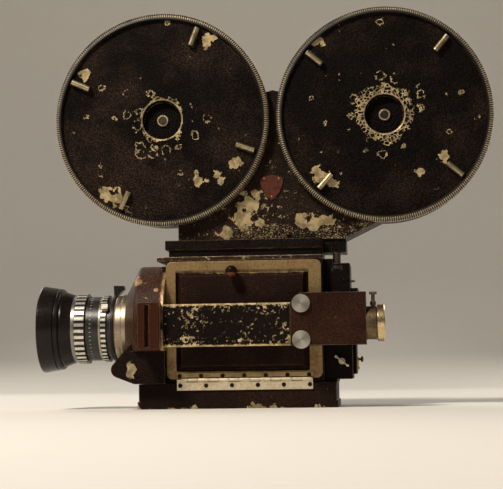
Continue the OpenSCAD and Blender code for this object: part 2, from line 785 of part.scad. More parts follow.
// Outline of a belt pulley's rim: flat tread between two flanges
function pulley_rim(r) = let (half = pulley_w / 2, tread = belt_w / 2 + air) [[r + 2.5, -belt_y + half],
    [r + 2.5, -belt_y + tread + 0.5], [r, -belt_y + tread], [r, -belt_y - tread],
    [r + 2.5, -belt_y - tread - 0.5], [r + 2.5, -belt_y - half]];

// Film sprocket turned in one with its shaft and the belt pulley
module film_sprocket() color("#aaa79e") {
    y_turned(sprocket_x, sprocket_z) {
        polygon(concat([[0, 17], [sprocket_r, 17], [sprocket_r, 10], [sprocket_r - 2.5, 9],
            [sprocket_r - 2.5, -9], [sprocket_r, -10], [sprocket_r, -17], [shaft_r, -17],
            [shaft_r, -belt_y + pulley_w / 2]],
            pulley_rim(drive_pulley_r), [[0, -belt_y - pulley_w / 2]]));
    }
    for (i = [0 : sprocket_teeth - 1], y = [-14, 14])
        translate([sprocket_x, y, sprocket_z]) rotate([0, i * 360 / sprocket_teeth, 0])
            translate([sprocket_r - 0.5, -1, -0.6]) cube([1.6, 2, 1.2]);
}

// Large gear on the sprocket shaft
module sprocket_gear() color("#b08d4a") difference() {
    translate([sprocket_x, gear_y0 + gear_w, sprocket_z]) rotate([90, 0, 0]) linear_extrude(gear_w)
        rotate(mesh_turn + 180 / gear_teeth) gear_outline(gear_teeth);
    y_cyl(sprocket_x, sprocket_z, gear_y0 - 1, gear_y0 + gear_w + 1, shaft_r + run_fit);
    for (a = [0 : 60 : 300]) y_cyl(sprocket_x + 14 * cos(a), sprocket_z + 14 * sin(a),
        gear_y0 - 1, gear_y0 + gear_w + 1, 4.5);
}

// Rollers that keep the film on the sprocket
module keeper_roller(a) color("#2c2a28")
    y_turned(sprocket_x + keeper_gap * cos(a), sprocket_z + keeper_gap * sin(a))
        polygon([[2 + run_fit, 16.5], [keeper_r, 16.5], [keeper_r, 9], [keeper_r - 1.5, 8],
            [keeper_r - 1.5, -8], [keeper_r, -9], [keeper_r, -16.5], [2 + run_fit, -16.5]]);
module keeper_roller_upper() keeper_roller(keeper_turns[0]);
module keeper_roller_front() keeper_roller(keeper_turns[1]);

// Drive shaft with its pinion, running through the motor
module drive_shaft() color("#8f8c86") {
    y_cyl(drive_x, drive_z, mech_plate_y, motor_y1 + 4, shaft_r);
    translate([drive_x, gear_y0 + gear_w, drive_z]) rotate([90, 0, 0]) linear_extrude(gear_w)
        rotate(mesh_turn) gear_outline(pinion_teeth);
}

// Electric motor bolted to the side cover, with cooling ribs and a domed end
module motor_housing() color("#26211d") y_turned(drive_x, drive_z) {
    bore = shaft_r + run_fit;
    rib = [[motor_r, 0], [motor_r - 2, 0], [motor_r - 2, -2], [motor_r, -2]];
    polygon(concat([[bore, -cover_y - 2.4], [13, -cover_y - 2.4], [13, -motor_y0], [motor_r - 4, -motor_y0],
        [motor_r, -motor_y0 - 4]], [for (i = [0 : 5], p = rib) [p[0], p[1] - motor_y0 - 12 - i * 5]],
        arc(motor_r - 8, -motor_y1 + 8, 8, 0, -90), [[bore, -motor_y1]]));
}

// Fluted knob on the motor end for turning the movement by hand
module inching_knob() color("#1d1b19") difference() {
    y_cyl(drive_x, drive_z, motor_y1 + air, motor_y1 + 10, inching_r);
    y_cyl(drive_x, drive_z, motor_y1 - 1, motor_y1 + 4.05, shaft_r + run_fit);
    for (a = [0 : 30 : 330]) y_cyl(drive_x + (inching_r + 1) * cos(a), drive_z + (inching_r + 1) * sin(a),
        motor_y1 - 1, motor_y1 + 11, 2);
}

// Rear housing: block behind the film chamber, box and terminal cover
module rear_housing() color("#2a211c") {
    block(bx1, rear_x, -rear_half, by1, bz0, upper_z0);
    side_plate(rear_x - 3, rear_box_x, bz0 + 2.3, upper_z0 - 3, -rear_half, rear_half, 1.5);
    side_plate(rear_box_x - 3, rear_box_x + terminal_t, bz0 + 6.5, upper_z0 - 7,
        -rear_half + 7, rear_half - 7, 1.5);
}

// Upper rear box with a slot for the lock wheel
module rear_upper_box() color("#1e1916") difference() {
    union() {
        side_plate(bx1, bx1 + upper_len, upper_z0, upper_z1, -upper_half, upper_half, 1);
        block(bx1, bx1 + 9, -upper_half, upper_half, upper_z1 - 2, bz1);
        block(bx1 + upper_len - 5, bx1 + upper_len + 6.5, -upper_half + 2, upper_half - 2,
            upper_z0, upper_z0 + 4);
    }
    translate([lock_wheel_x, lock_wheel_y, upper_z1 - 6]) cylinder(h = 4, r = lock_wheel_r + air);
    translate([lock_wheel_x, lock_wheel_y, upper_z1 - 8]) cylinder(h = 8.5, r = lock_screw_r + run_fit);
    translate([lock_wheel_x, lock_wheel_y, upper_z1]) cylinder(h = bz1 - upper_z1 + 1, r = lock_screw_r + air);
    x_cyl(-10, upper_z0 + 10.5, bx1 + upper_len - 8, bx1 + upper_len + 1, push_pin_r + run_fit);
}

// Brass plate on the terminal cover
module terminal_plate() color("#b5893c") difference() {
    translate([rear_box_x + terminal_t, 0, 0]) rotate([90, 0, 90]) linear_extrude(1.5)
        round_rect(-18, -4, bz0 + 10, bz0 + 21.5, 2);
    x_cyl(-11, wing_z + 1.5, rear_box_x, rear_box_x + 8, 1 + run_fit);
}

// Small knob on the terminal plate
module rear_knob() color("#5b4a2c") translate([rear_box_x + terminal_t, 0, 0]) x_turned(-11, wing_z + 1.5)
    polygon([[0, 0.2], [1, 0.2], [1, 3], [rear_knob_r, 4], [rear_knob_r, 5.2], [0, 5.8]]);

// Wing screw on the rear box
module wing_screw() color("#c2a35c") {
    y0 = -rear_half;
    y_cyl(wing_x, wing_z, y0 - 4, y0 - air, wing_hub_r);
    translate([wing_x, 0, wing_z]) rotate([0, 38, 0]) side_profile(y0 - 6.5, y0 - 2) union() {
        translate([-wing_span / 2 + 1.2, -0.6]) square([wing_span - 2.4, 1.2]);
        for (s = [-1, 1]) translate([s * (wing_span / 2 - 1.2), 0]) circle(1.2);
    }
}

// Sprung push pin on the upper rear box
module push_pin() color("#8c8880")
    x_cyl(-10, upper_z0 + 10.5, bx1 + upper_len - 5, bx1 + upper_len + 4, push_pin_r);

// Lock wheel and screw that draw the magazine down on its seat
module magazine_lock() color("#4a443c") translate([lock_wheel_x, lock_wheel_y, 0]) {
    translate([0, 0, upper_z1 - 6 + air]) cylinder(h = 4 - 2 * air, r = lock_wheel_r);
    translate([0, 0, upper_z1 - 5]) cylinder(h = cap_z + seat_step - air - upper_z1 + 5, r = lock_screw_r);
}

// Door frame: flat plate with round corners round the panel opening
module door_frame() color("#a08a55") difference() {
    side_plate(door_x0, door_x1, door_z0, door_z1, frame_y, by0, frame_corner);
    side_plate(open_x0, open_x1, open_z0, open_z1, frame_y - 1, by0 + 1, 2);
}

// Door panel: flange behind the frame, raised field with a bevel all round
module door_panel() color("#3c2e27") difference() {
    union() {
        side_plate(open_x0 - flange_lap, open_x1 + flange_lap, open_z0 - flange_lap, open_z1 + flange_lap,
            by0, by0 + flange_t, 2);
        intersection() {
            block(open_x0 + panel_groove, open_x1 - panel_groove, panel_y, by0 + eps,
                open_z0 + panel_groove, open_z1 - panel_groove);
            bevelled_field();
        }
    }
    y_cyl(latch_x, latch_z, panel_y - 1, by0 + flange_t + 1, latch_pin_r + run_fit);
    for (z = disc_z) y_cyl(disc_x, z, panel_y - 1, panel_y + 4, disc_shank_r + run_fit);
}
// Slopes of the raised field: a ridge roof along X met by one along Z
module bevelled_field() {
    x0 = open_x0 + panel_groove;
    x1 = open_x1 - panel_groove;
    z0 = open_z0 + panel_groove;
    z1 = open_z1 - panel_groove;
    low = frame_y + 1.5;
    intersection() {
        translate([x0, 0, 0]) rotate([90, 0, 90]) linear_extrude(x1 - x0)
            polygon([[by0 + 1, z0], [low, z0], [panel_y, z0 + panel_bevel], [panel_y, z1 - panel_bevel],
                [low, z1], [by0 + 1, z1]]);
        translate([0, 0, z0]) linear_extrude(z1 - z0)
            polygon([[x0, by0 + 1], [x0, low], [x0 + panel_bevel, panel_y], [x1 - panel_bevel, panel_y],
                [x1, low], [x1, by0 + 1]]);
    }
}

// Latch knob: domed head on a collar, with its spindle through the panel
module latch_knob() color("#2a1d18") y_turned(latch_x, latch_z) {
    top = -panel_y + latch_h;
    polygon(concat([[0, -by0 - flange_t - 3], [4.5, -by0 - flange_t - 3], [4.5, -by0 - flange_t - air],
        [latch_pin_r, -by0 - flange_t - air], [latch_pin_r, -panel_y + air],
        [latch_r - 0.8, -panel_y + air], [latch_r - 1.6, -panel_y + 5],
        [latch_r, -panel_y + 6], [latch_r, top - 4]], arc(latch_r - 4, top - 4, 4, 0, 90), [[0, top]]));
}

// Knuckles of one leaf: every second length of tube, starting with the given one
module knuckle_row(start) {
    for (i = [start : 2 : knuckles - 1]) x_cyl(hinge_y, hinge_z, hinge_x0 + i * knuckle_len + knuckle_gap / 2,
        hinge_x0 + (i + 1) * knuckle_len - knuckle_gap / 2, knuckle_r);
}
// Room that one leaf leaves for the other's knuckles
module knuckle_room(start) {
    for (i = [start : 2 : knuckles - 1]) x_cyl(hinge_y, hinge_z, hinge_x0 + i * knuckle_len - knuckle_gap / 2,
        hinge_x0 + (i + 1) * knuckle_len + knuckle_gap / 2, knuckle_r + air);
}
module pin_bore() {
    x_cyl(hinge_y, hinge_z, hinge_x0 - 1, hinge_x0 + hinge_len + 1, hinge_pin_r + run_fit);
}
module door_hinge_leaf() color("#b59a5e") difference() {
    union() {
        difference() {
            block(hinge_x0, hinge_x0 + hinge_len, frame_y - leaf_t, frame_y,
                hinge_z + 0.3, hinge_z + 0.3 + door_leaf_h);
            knuckle_room(0);
        }
        knuckle_row(1);
    }
    pin_bore();
}
module base_hinge_leaf() color("#d8cdb0") difference() {
    union() {
        difference() {
            block(hinge_x0, hinge_x0 + hinge_len, frame_y - leaf_t, frame_y,
                hinge_z - 0.3 - base_leaf_h, hinge_z - 0.3);
            knuckle_room(1);
        }
        knuckle_row(0);
    }
    pin_bore();
}
module hinge_pin() color("#9c978c")
    x_cyl(hinge_y, hinge_z, hinge_x0, hinge_x0 + hinge_len, hinge_pin_r);

// Front tube of the finder: rectangular casting with a light port in its front end
module finder_tube() color("#33261f") difference() {
    block(tube_x0, tube_x1, tube_y, panel_y, tube_z0, tube_z1);
    block(tube_x0 + finder_wall, tube_x1 + 1, tube_y + finder_wall, panel_y - finder_wall,
        tube_z0 + finder_wall, tube_z1 - finder_wall);
    x_cyl(finder_y, finder_z, tube_x0 - 1, tube_x0 + finder_wall + 1, port_r);
}

// Prism housing: deeper casting with a cut front corner, bored for the eyepiece
module finder_prism_housing() color("#4a382f") difference() {
    prism_shape(0, tube_x1, prism_x1, prism_y, panel_y);
    prism_shape(finder_wall, tube_x1 - 1, prism_x1 - finder_wall, prism_y + finder_wall, panel_y - finder_wall);
    x_cyl(finder_y, finder_z, prism_x1 - finder_wall - 1, prism_x1 + 1, eye_bore);
    for (z = disc_z) y_cyl(disc_x, z, prism_y - 1, panel_y + 1, disc_shank_r + run_fit);
}
module prism_shape(inset, x0, x1, y0, y1) {
    side_profile(y0, y1) polygon([[x0, tube_z0 + inset], [x1, tube_z0 + inset], [x1, prism_z1 - inset],
        [tube_x1 + prism_cut + inset, prism_z1 - inset], [tube_x1 + inset, prism_z1 - prism_cut - inset],
        [x0, prism_z1 - prism_cut - inset]]);
}

// Two large-headed screws that hold the finder on the door
module finder_screws() color("#cfcac0") for (z = disc_z) {
    y_cyl(disc_x, z, prism_y - disc_t, prism_y, disc_r);
    y_cyl(disc_x, z, prism_y - eps, panel_y + 3.5, disc_shank_r);
}

// Relay lens in the tube and eye lens in the eyepiece
module finder_lenses() color("#a9c4c8") {
    lens_y = (tube_y + panel_y) / 2;
    lens_r = (panel_y - tube_y) / 2 - finder_wall;
    relay_back = 40;
    x_turned(lens_y, finder_z) lens_section(lens_r, tube_x0 + relay_back, 5, 1.5);
    x_turned(finder_y, finder_z) lens_section(eye_bore, eye_x1 - 6, 4, 1.2);
}
// Biconvex lens: edge thickness t, each face bulging by b
module lens_section(r, x, t, b) {
    big = (r * r + b * b) / (2 * b);
    half = asin(r / big);
    polygon(concat([for (i = [0 : 6]) let (a = half * i / 6) [big * sin(a), x - t / 2 - b + big * (1 - cos(a))]],
        [for (i = [6 : -1 : 0]) let (a = half * i / 6) [big * sin(a), x + t / 2 + b - big * (1 - cos(a))]]));
}

// Eyepiece tube screwed into the prism housing
module eyepiece_tube() color("#6e5d45") difference() {
    x_turned(finder_y, finder_z) polygon([[eye_bore, prism_x1], [eye_r, prism_x1], [eye_r, eye_x1 - 2],
        [eye_ring_r - 3, eye_x1 - 2], [eye_ring_r - 3, eye_x1 + eye_ring_w - 1],
        [eye_bore, eye_x1 + eye_ring_w - 1]]);
    translate([prism_x1 + 6, finder_y, finder_z + eye_bore + 1]) cylinder(h = 10, r = clamp_r + run_fit);
}

// Focusing ring with a dished rear edge
module eyepiece_ring() color("#d9c48a") x_turned(finder_y, finder_z)
    polygon([[eye_ring_r - 3 + run_fit, eye_x1 - 2 + air], [eye_ring_r - 0.6, eye_x1 - 2 + air],
        [eye_ring_r, eye_x1 - 1], [eye_ring_r, eye_x1 + eye_ring_w - 1], [eye_ring_r - 1, eye_x1 + eye_ring_w],
        [eye_ring_r - 3 + run_fit, eye_x1 + eye_ring_w - 0.6]]);

// Cross-bar screw that clamps the eyepiece
module eyepiece_clamp() color("#5d4a3a") translate([prism_x1 + 6, finder_y, finder_z]) {
    translate([0, 0, eye_bore + 1.5]) cylinder(h = eye_r - eye_bore + clamp_h - 3, r = clamp_r);
    translate([0, 0, eye_r + 0.6]) cylinder(h = 3.5, r = 2.6);
    translate([-clamp_bar / 2, 0, eye_r + clamp_h - 1.2]) rotate([0, 90, 0]) cylinder(h = clamp_bar, r = 1.2);
}

// Lens mount: stepped flange on the shutter housing and the nose for the lock ring
module lens_mount() color("#c9b98d") x_turned(0, lens_z)
    polygon([[lens_bore + 1, dome_x0], [mount_r, dome_x0], [mount_r, dome_x0 - mount_depth * 0.4],
        [mount_r - 1, dome_x0 - mount_depth * 0.45], [mount_r - 1, mount_x + 1.5], [mount_r - 1.6, mount_x],
        [nose_r, mount_x], [nose_r, lock_x], [lens_bore + 1, lock_x]]);

// Turning lock ring with its finger tab
module lens_lock_ring() color("#1c1a18") {
    x_turned(0, lens_z) polygon([[nose_r + run_fit, mount_x - air], [mount_r - 0.6, mount_x - air],
        [mount_r - 0.6, lock_x + air], [nose_r + run_fit, lock_x + air]]);
    translate([0, 0, lens_z]) side_profile(-5, 5) polygon([[lock_x + air, mount_r - 1],
        [mount_x - air, mount_r - 1], [mount_x + 5.6, mount_r + 4.5], [mount_x + 5.2, mount_r + 8],
        [lock_x, mount_r + 8.2], [lock_x + 0.3, mount_r + 4]]);
}

// Lens barrel: core tube with its rear section, scale section and front collar
module lens_barrel() color("#191716") x_turned(0, lens_z)
    polygon([[lens_bore, lock_x], [rear_r - 0.6, lock_x], [rear_r, lock_x - 0.6], [rear_r, lock_x - rear_len],
        [core_r, lock_x - rear_len], [core_r, ap_x0 - air], [mid_r, ap_x0 - air], [mid_r, mid_x0],
        [core_r, mid_x0], [core_r, focus_x0 - air], [collar_r, focus_x0 - air], [collar_r, collar_x0],
        [core_r, collar_x0], [core_r, collar_x0 - 5], [lens_bore + 6, collar_x0 - 5], [lens_bore + 6, focus_x0],
        [lens_bore, focus_x0 + 4]]);

// Ring with straight flutes, alternately raised and cut
module fluted_ring(x0, x1, r, flutes) difference() {
    x_turned(0, lens_z) polygon([[core_r + run_fit, x0], [r - 0.4, x0], [r, x0 + 0.4], [r, x1 - 0.4],
        [r - 0.4, x1], [core_r + run_fit, x1]]);
    for (i = [0 : flutes - 1]) translate([0, 0, lens_z]) rotate([i * 360 / flutes, 0, 0])
        block(x0 - 1, x1 + 1, -PI * r / flutes / 2, PI * r / flutes / 2, r - flute_depth, r + 1);
}
module aperture_ring() color("#d8d4cc") {
    fluted_ring(ap_x0, ap_x1, aperture_r, aperture_flutes);
    translate([0, 0, lens_z]) rotate([55, 0, 0])
        block(ap_x0 + 1, ap_x1 + 1.6, -2.6, 2.6, rear_r + 0.8, aperture_r + 3);
}
module focus_ring() color("#d8d4cc") fluted_ring(focus_x0, focus_x1, focus_r, focus_flutes);

// Lens hood: tapered neck and flared front section with a groove between them
module lens_hood() color("#141211") x_turned(0, lens_z)
    polygon([[core_r + run_fit, collar_x0], [collar_r + 0.6, collar_x0], [neck_r, neck_x0 + 2],
        [neck_r, neck_x0], [hood_back_r - 0.6, neck_x0], [hood_back_r, neck_x0 - 0.6],
        [hood_back_r + 0.4, neck_x0 - 3], [hood_back_r - 0.6, neck_x0 - 3.4], [hood_back_r - 0.5, neck_x0 - 4.4],
        [hood_back_r + 0.6, neck_x0 - 4.8], [hood_r, hood_x0 + 1.2], [hood_r - 0.5, hood_x0],
        [hood_r - hood_wall, hood_x0], [hood_back_r - hood_wall - 0.6, neck_x0 - 4],
        [neck_r - hood_wall, neck_x0],
        [core_r + 1.5, collar_x0 - 6], [core_r + run_fit, collar_x0 - 6]]);

// Front and rear lens elements
module lens_glasses() color("#7f93a8") {
    x_turned(0, lens_z) lens_section(lens_bore + 6 - seat_gap, focus_x0 - 5, 3, 3);
    x_turned(0, lens_z) lens_section(lens_bore - seat_gap, lock_x - 5, 3, 2);
}

// Magazine: two drums in one casting with the web, the foot and the throat between them
module magazine_casting() color("#2b211c") difference() {
    union() {
        for (x = drum_x) y_cyl(x, drum_z, -drum_front, drum_back, drum_r);
        side_profile(-web_front, drum_back) polygon([[foot_x0, seat_top], [foot_x1, seat_top],
            [drum_x[1] - 3, drum_z - drum_r + 0.3], [drum_x[1], drum_z], [mag_x, drum_z + saddle_rise],
            [drum_x[0], drum_z], [foot_x0, drum_z - drum_r + 20]]);
    }
    for (x = drum_x) {
        y_cyl(x, drum_z, -drum_front - 1, drum_back - drum_floor, drum_r - drum_wall);
        y_cyl(x, drum_z, 0, drum_back + 1, spindle_r + run_fit);
    }
    side_profile(-throat_half, throat_half) polygon([[throat_x0, seat_top - 1], [throat_x1, seat_top - 1],
        [drum_x[1] - drum_r + passage_rear, drum_z - passage_drop],
        [drum_x[0] + drum_r - passage_front, drum_z - passage_drop]]);
}

// Lid: flat dished face with a cup in the middle and a collar for the spindle end
module lid_face_turned(x) color("#2e241f") y_turned(x, drum_z)
    polygon([[spindle_tip_r + run_fit, lid_face - cup_depth + 1.5], [5, lid_face - cup_depth + 1.5],
        [5, lid_face - cup_depth], [cup_r - 0.8, lid_face - cup_depth], [cup_r, lid_face - 0.6],
        [cup_r + 1, lid_face], [lid_r - rim_w, lid_face], [lid_r - rim_w, lid_face - lid_t],
        [cup_r + lid_t, lid_face - lid_t], [cup_r + lid_t, lid_face - cup_depth - lid_t],
        [spindle_tip_r + run_fit, lid_face - cup_depth - lid_t]]);
module feed_lid() lid_face_turned(drum_x[0]);
module takeup_lid() lid_face_turned(drum_x[1]);

// Rim of a lid: grip ring with rounded edges that laps over the drum
module lid_rim(x) color("#8d7a55") y_turned(x, drum_z)
    polygon(concat([[lid_r - rim_w, lid_face - lid_t], [lid_r - rim_w, rim_front - 1],
        [lid_r - rim_w + 1, rim_front]], arc(lid_r - 3, rim_front - 3, 3, 90, 0),
        [[lid_r, rim_front - rim_depth], [drum_r + air, rim_front - rim_depth],
        [drum_r + air, lid_face - lid_t]]));
module feed_lid_rim() lid_rim(drum_x[0]);
module takeup_lid_rim() lid_rim(drum_x[1]);

// Four half-round grip lugs on a lid
module lid_lugs(i) color("#a3926b") translate([drum_x[i], -lid_face, drum_z]) {
    for (a = lug_turns[i]) rotate([0, -a, 0]) {
        block(lug_in, lug_out, -lug_h + lug_w / 2, 0, -lug_w / 2, lug_w / 2);
        translate([lug_in, -lug_h + lug_w / 2, 0]) rotate([0, 90, 0])
            cylinder(h = lug_out - lug_in, r = lug_w / 2);
    }
}
module feed_lid_lugs() lid_lugs(0);
module takeup_lid_lugs() lid_lugs(1);

// Spindle with its film core, stepped down at the front end; the tail runs in the drum floor
module spindle_section(tail) {
    polygon([[0, lid_face - cup_depth + 2], [spindle_tip_r, lid_face - cup_depth + 2],
        [spindle_tip_r, lid_face - cup_depth - lid_t - 1], [spindle_r, lid_face - cup_depth - lid_t - 1],
        [spindle_r, core_half], [core_roll_r, core_half], [core_roll_r, -core_half], [spindle_r, -core_half],
        [spindle_r, -tail], [0, -tail]]);
}
module feed_spindle() color("#7d7a74") y_turned(drum_x[0], drum_z) spindle_section(drum_back + 3);
// The take-up spindle carries the belt pulley on its tail
module takeup_spindle() color("#7d7a74") y_turned(drum_x[1], drum_z) {
    spindle_section(belt_y + pulley_w / 2);
    polygon(concat([[0, -belt_y + pulley_w / 2]], pulley_rim(takeup_pulley_r), [[0, -belt_y - pulley_w / 2]]));
}

// Flat belt from the sprocket shaft to the take-up spindle
module takeup_belt() color("#3a2a1e") side_profile(belt_y - belt_w / 2, belt_y + belt_w / 2) difference() {
    belt_loop(belt_t + air);
    belt_loop(air);
}
// Outline of a belt that runs the given distance outside both pulleys
module belt_loop(out) {
    a = [sprocket_x, sprocket_z];
    b = [drum_x[1], drum_z];
    r_a = drive_pulley_r + out;
    r_b = takeup_pulley_r + out;
    d = b - a;
    lean = atan2(d[1], d[0]);
    spread = acos((r_a - r_b) / norm(d));
    polygon(concat(arc(b[0], b[1], r_b, lean - spread, lean + spread, 24),
        arc(a[0], a[1], r_a, lean + spread, lean + 360 - spread, 24)));
}

// Small shield-shaped plate on the web
module shield_plate() color("#8a4a33") translate([mag_x - 2, 0, drum_z - shield_drop])
    side_profile(-web_front - 1, -web_front) intersection() {
        translate([-10.5, -14]) square([21, 25]);
        translate([-13.8, 8]) circle(24.3);
        translate([13.8, 8]) circle(24.3);
        translate([0, -14.5]) circle(25);
    }

base_plate();
body_shell();
cap_plate();
side_cover();
mechanism_plate();
magazine_seat();
front_housing();
lower_front_cover();
filter_block();
finder_prism();
aperture_plate();
pressure_plate();
claw();
mirror_shutter();
film_sprocket();
sprocket_gear();
keeper_roller_upper();
keeper_roller_front();
drive_shaft();
motor_housing();
inching_knob();
rear_housing();
rear_upper_box();
terminal_plate();
rear_knob();
wing_screw();
push_pin();
magazine_lock();
door_frame();
door_panel();
latch_knob();
door_hinge_leaf();
base_hinge_leaf();
hinge_pin();
finder_tube();
finder_prism_housing();
finder_screws();
finder_lenses();
eyepiece_tube();
eyepiece_ring();
eyepiece_clamp();
lens_mount();
lens_lock_ring();
lens_barrel();
aperture_ring();
focus_ring();
lens_hood();
lens_glasses();
magazine_casting();
feed_lid();
feed_lid_rim();
feed_lid_lugs();
takeup_lid();
takeup_lid_rim();
takeup_lid_lugs();
feed_spindle();
takeup_spindle();
takeup_belt();
shield_plate();
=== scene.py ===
import math

import bmesh
import bpy
from mathutils import Matrix, Vector


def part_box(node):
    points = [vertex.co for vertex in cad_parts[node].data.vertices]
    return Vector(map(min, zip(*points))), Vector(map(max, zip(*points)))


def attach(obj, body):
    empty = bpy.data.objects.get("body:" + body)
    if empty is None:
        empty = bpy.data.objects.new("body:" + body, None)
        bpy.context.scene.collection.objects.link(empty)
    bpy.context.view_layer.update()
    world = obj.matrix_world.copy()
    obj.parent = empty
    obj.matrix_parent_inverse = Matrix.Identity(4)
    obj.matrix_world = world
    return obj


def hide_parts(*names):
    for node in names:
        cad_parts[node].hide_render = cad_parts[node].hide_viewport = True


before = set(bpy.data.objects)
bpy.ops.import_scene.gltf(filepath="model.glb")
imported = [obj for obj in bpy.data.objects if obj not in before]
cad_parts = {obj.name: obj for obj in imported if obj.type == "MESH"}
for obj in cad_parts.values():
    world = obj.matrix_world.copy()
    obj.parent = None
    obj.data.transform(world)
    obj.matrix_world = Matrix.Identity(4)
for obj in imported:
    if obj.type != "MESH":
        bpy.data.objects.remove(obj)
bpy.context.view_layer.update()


# Base: a cast block under the body with a low foot ledge, in dark brown crinkle enamel.
# The paint is rubbed off along the lower edge, where the camera is set down and slid about.
class Tone:
    """A socket of a finish, so that masks can be written as sums and products."""

    def __init__(self, tree, socket):
        self.tree = tree
        self.socket = socket

    def node(self, kind, settings, links, out=0):
        made = self.tree.nodes.new("ShaderNode" + kind)
        for key, value in settings.items():
            setattr(made, key, value)
        for key, value in links.items():
            if isinstance(value, Tone):
                self.tree.links.new(value.socket, made.inputs[key])
            else:
                made.inputs[key].default_value = value
        return Tone(self.tree, made.outputs[out])

    def sums(self, how, other, turned=False):
        first, second = (other, self) if turned else (self, other)
        return self.node("Math", {"operation": how}, {0: first, 1: second})

    def __add__(self, other):
        return self.sums("ADD", other)

    def __sub__(self, other):
        return self.sums("SUBTRACT", other)

    def __rsub__(self, other):
        return self.sums("SUBTRACT", other, True)

    def __mul__(self, other):
        return self.sums("MULTIPLY", other)

    def __truediv__(self, other):
        return self.sums("DIVIDE", other)

    def __pow__(self, other):
        return self.sums("POWER", other)

    def __abs__(self):
        return self.node("Math", {"operation": "ABSOLUTE"}, {0: self})

    __radd__ = __add__
    __rmul__ = __mul__

    def least(self, other):
        return self.sums("MINIMUM", other)

    def most(self, other):
        return self.sums("MAXIMUM", other)

    def wave(self, kind):
        return self.node("Math", {"operation": kind}, {0: self})

    def rise(self, low, high):
        return self.node("MapRange", {"interpolation_type": "SMOOTHSTEP"},
                         {"Value": self, "From Min": low, "From Max": high, "To Min": 0.0, "To Max": 1.0})

    def noise(self, scale, detail=3.0, rough=0.55, warp=0.0):
        return self.node("TexNoise", {}, {"Vector": self, "Scale": scale, "Detail": detail,
                                          "Roughness": rough, "Distortion": warp})

    def stretched(self, scale):
        return self.node("Mapping", {}, {"Vector": self, "Scale": scale})

    def part(self, axis):
        return self.node("SeparateXYZ", {}, {0: self}, axis)

    def distance(self, place):
        return self.node("VectorMath", {"operation": "DISTANCE"}, {0: self, 1: place}, "Value")

    def blend(self, low, high):
        return self.node("Mix", {"data_type": "RGBA"}, {"Factor": self, 6: low, 7: high}, 2)

    def relief(self, strength, **links):
        return self.node("Bump", {}, {"Strength": strength, "Distance": 1.0, **links})


def start_finish(name):
    finish = bpy.data.materials.new(name)
    finish.use_nodes = True
    tree = finish.node_tree
    shader = tree.nodes["Principled BSDF"]
    where = Tone(tree, tree.nodes.new("ShaderNodeTexCoord").outputs["Object"])
    return finish, shader, where


def put(tone, shader, socket):
    tone.tree.links.new(tone.socket, shader.inputs[socket])


def rgb(red, green, blue):
    return (red, green, blue, 1.0)


def shade(colour, factor, lift=0.0):
    return rgb(*[min(1, c * factor + lift) for c in colour])


def edge_wear(where, radius):
    """0 on flat ground, about 1 on an outer or inner edge, and the normal with that edge rounded."""
    rounded = where.node("Bevel", {"samples": 4}, {"Radius": radius})
    straight = where.node("NewGeometry", {}, {}, "Normal")
    facing = where.node("VectorMath", {"operation": "DOT_PRODUCT"}, {0: rounded, 1: straight}, "Value")
    return (1 - facing) * 3.4, rounded


def flecks(where, scale, amount):
    """Small ragged losses of paint, in loose groups."""
    group = (where.noise(scale * 0.17, 2) - 0.5) * 0.5
    limit = 0.76 - amount
    return (where.noise(scale, 5, 0.68, 0.5) + group).rise(limit, limit + 0.02)


def enamel(name, paint, metal, edge=0.5, chips=0.08, fleck=210, dust=0.5, film=(0.015, 0.0080, 0.0048),
           crinkle=0.00022, grain=820, crest_shading=0.5, gloss=0.50, sheen=0.07, extra=None, oily=None):
    """Stoved crinkle enamel on cast metal: patchy dust, crests painted lighter and hollows darker as
    highlight and shade, worn through at the edges, chipped on the flats.
    """
    edge_round = 0.0011
    paint_thickness = 0.00012
    finish, shader, where = start_finish(name)
    cloud = where.noise(15, 4, 0.6)
    broad = where.noise(38, 4)
    fine = where.noise(360, 4, 0.62)
    wear, rounded = edge_wear(where, edge_round)
    rubbed = (wear * 0.72 + (fine - 0.5) * 1.15 + (broad - 0.5) * 1.1).rise(1.02 - edge, 1.22 - edge)
    bare = rubbed.most(flecks(where, fleck, chips))
    if extra:
        bare = bare.most(extra(where, fine, broad))
    bare = bare.least(1.0)
    lumps = where.node("TexVoronoi", {"feature": "SMOOTH_F1"},
                       {"Vector": where, "Scale": grain, "Smoothness": 0.35})
    crest = (1 - lumps + (where.noise(grain * 0.8, 2) - 0.5) * 0.7).rise(0.35, 0.85)
    dusty = (cloud * 0.7 + broad * 0.4 + (fine - 0.5) * 0.15).rise(0.44, 0.70) * dust
    if oily:
        dusty = dusty * oily(where, cloud)
    dulled = [c * 1.5 + d for c, d in zip(paint, film)]
    # Painted light: the lighter copy of the paint goes on the crinkle crests as highlight, the darker copy in
    # the hollows as shade.
    low = dusty.blend(shade(paint, 1 - crest_shading), shade(dulled, 1 - crest_shading))
    high = dusty.blend(shade(paint, 1 + crest_shading * 0.4), shade(dulled, 1 + crest_shading * 0.6))
    tarnish = (where.noise(170, 3) + (fine - 0.5) * 0.4).rise(0.36, 0.66)
    under = tarnish.blend(rgb(*metal), shade(metal, 0.45))
    put(bare.blend(crest.blend(low, high), under), shader, "Base Color")
    put(bare * 0.5, shader, "Metallic")
    put(gloss + (fine - 0.5) * 0.25 - crest * 0.08 - bare * 0.06, shader, "Roughness")
    shader.inputs["Specular IOR Level"].default_value = sheen
    height = crest * (1 - bare) * crinkle + (1 - bare) * paint_thickness
    put(where.relief(0.9, Height=height, Normal=rounded), shader, "Normal")
    return finish


def dress(finish, *nodes):
    for node in nodes:
        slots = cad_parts[node].data.materials
        slots.clear()
        slots.append(finish)


knock_line = 0.001
knock_fade = 22


def low_edge(where, fine, broad):
    knocks = where.noise(70, 4, 0.62) + (fine - 0.5) * 0.25
    return (knocks - (where.part(2) - knock_line) * knock_fade).rise(0.575, 0.60)


cream_metal = (0.56, 0.43, 0.235)
dress(enamel("base_crinkle", (0.0150, 0.0062, 0.0038), cream_metal, edge=0.30, chips=0.02, extra=low_edge),
      "base_plate")


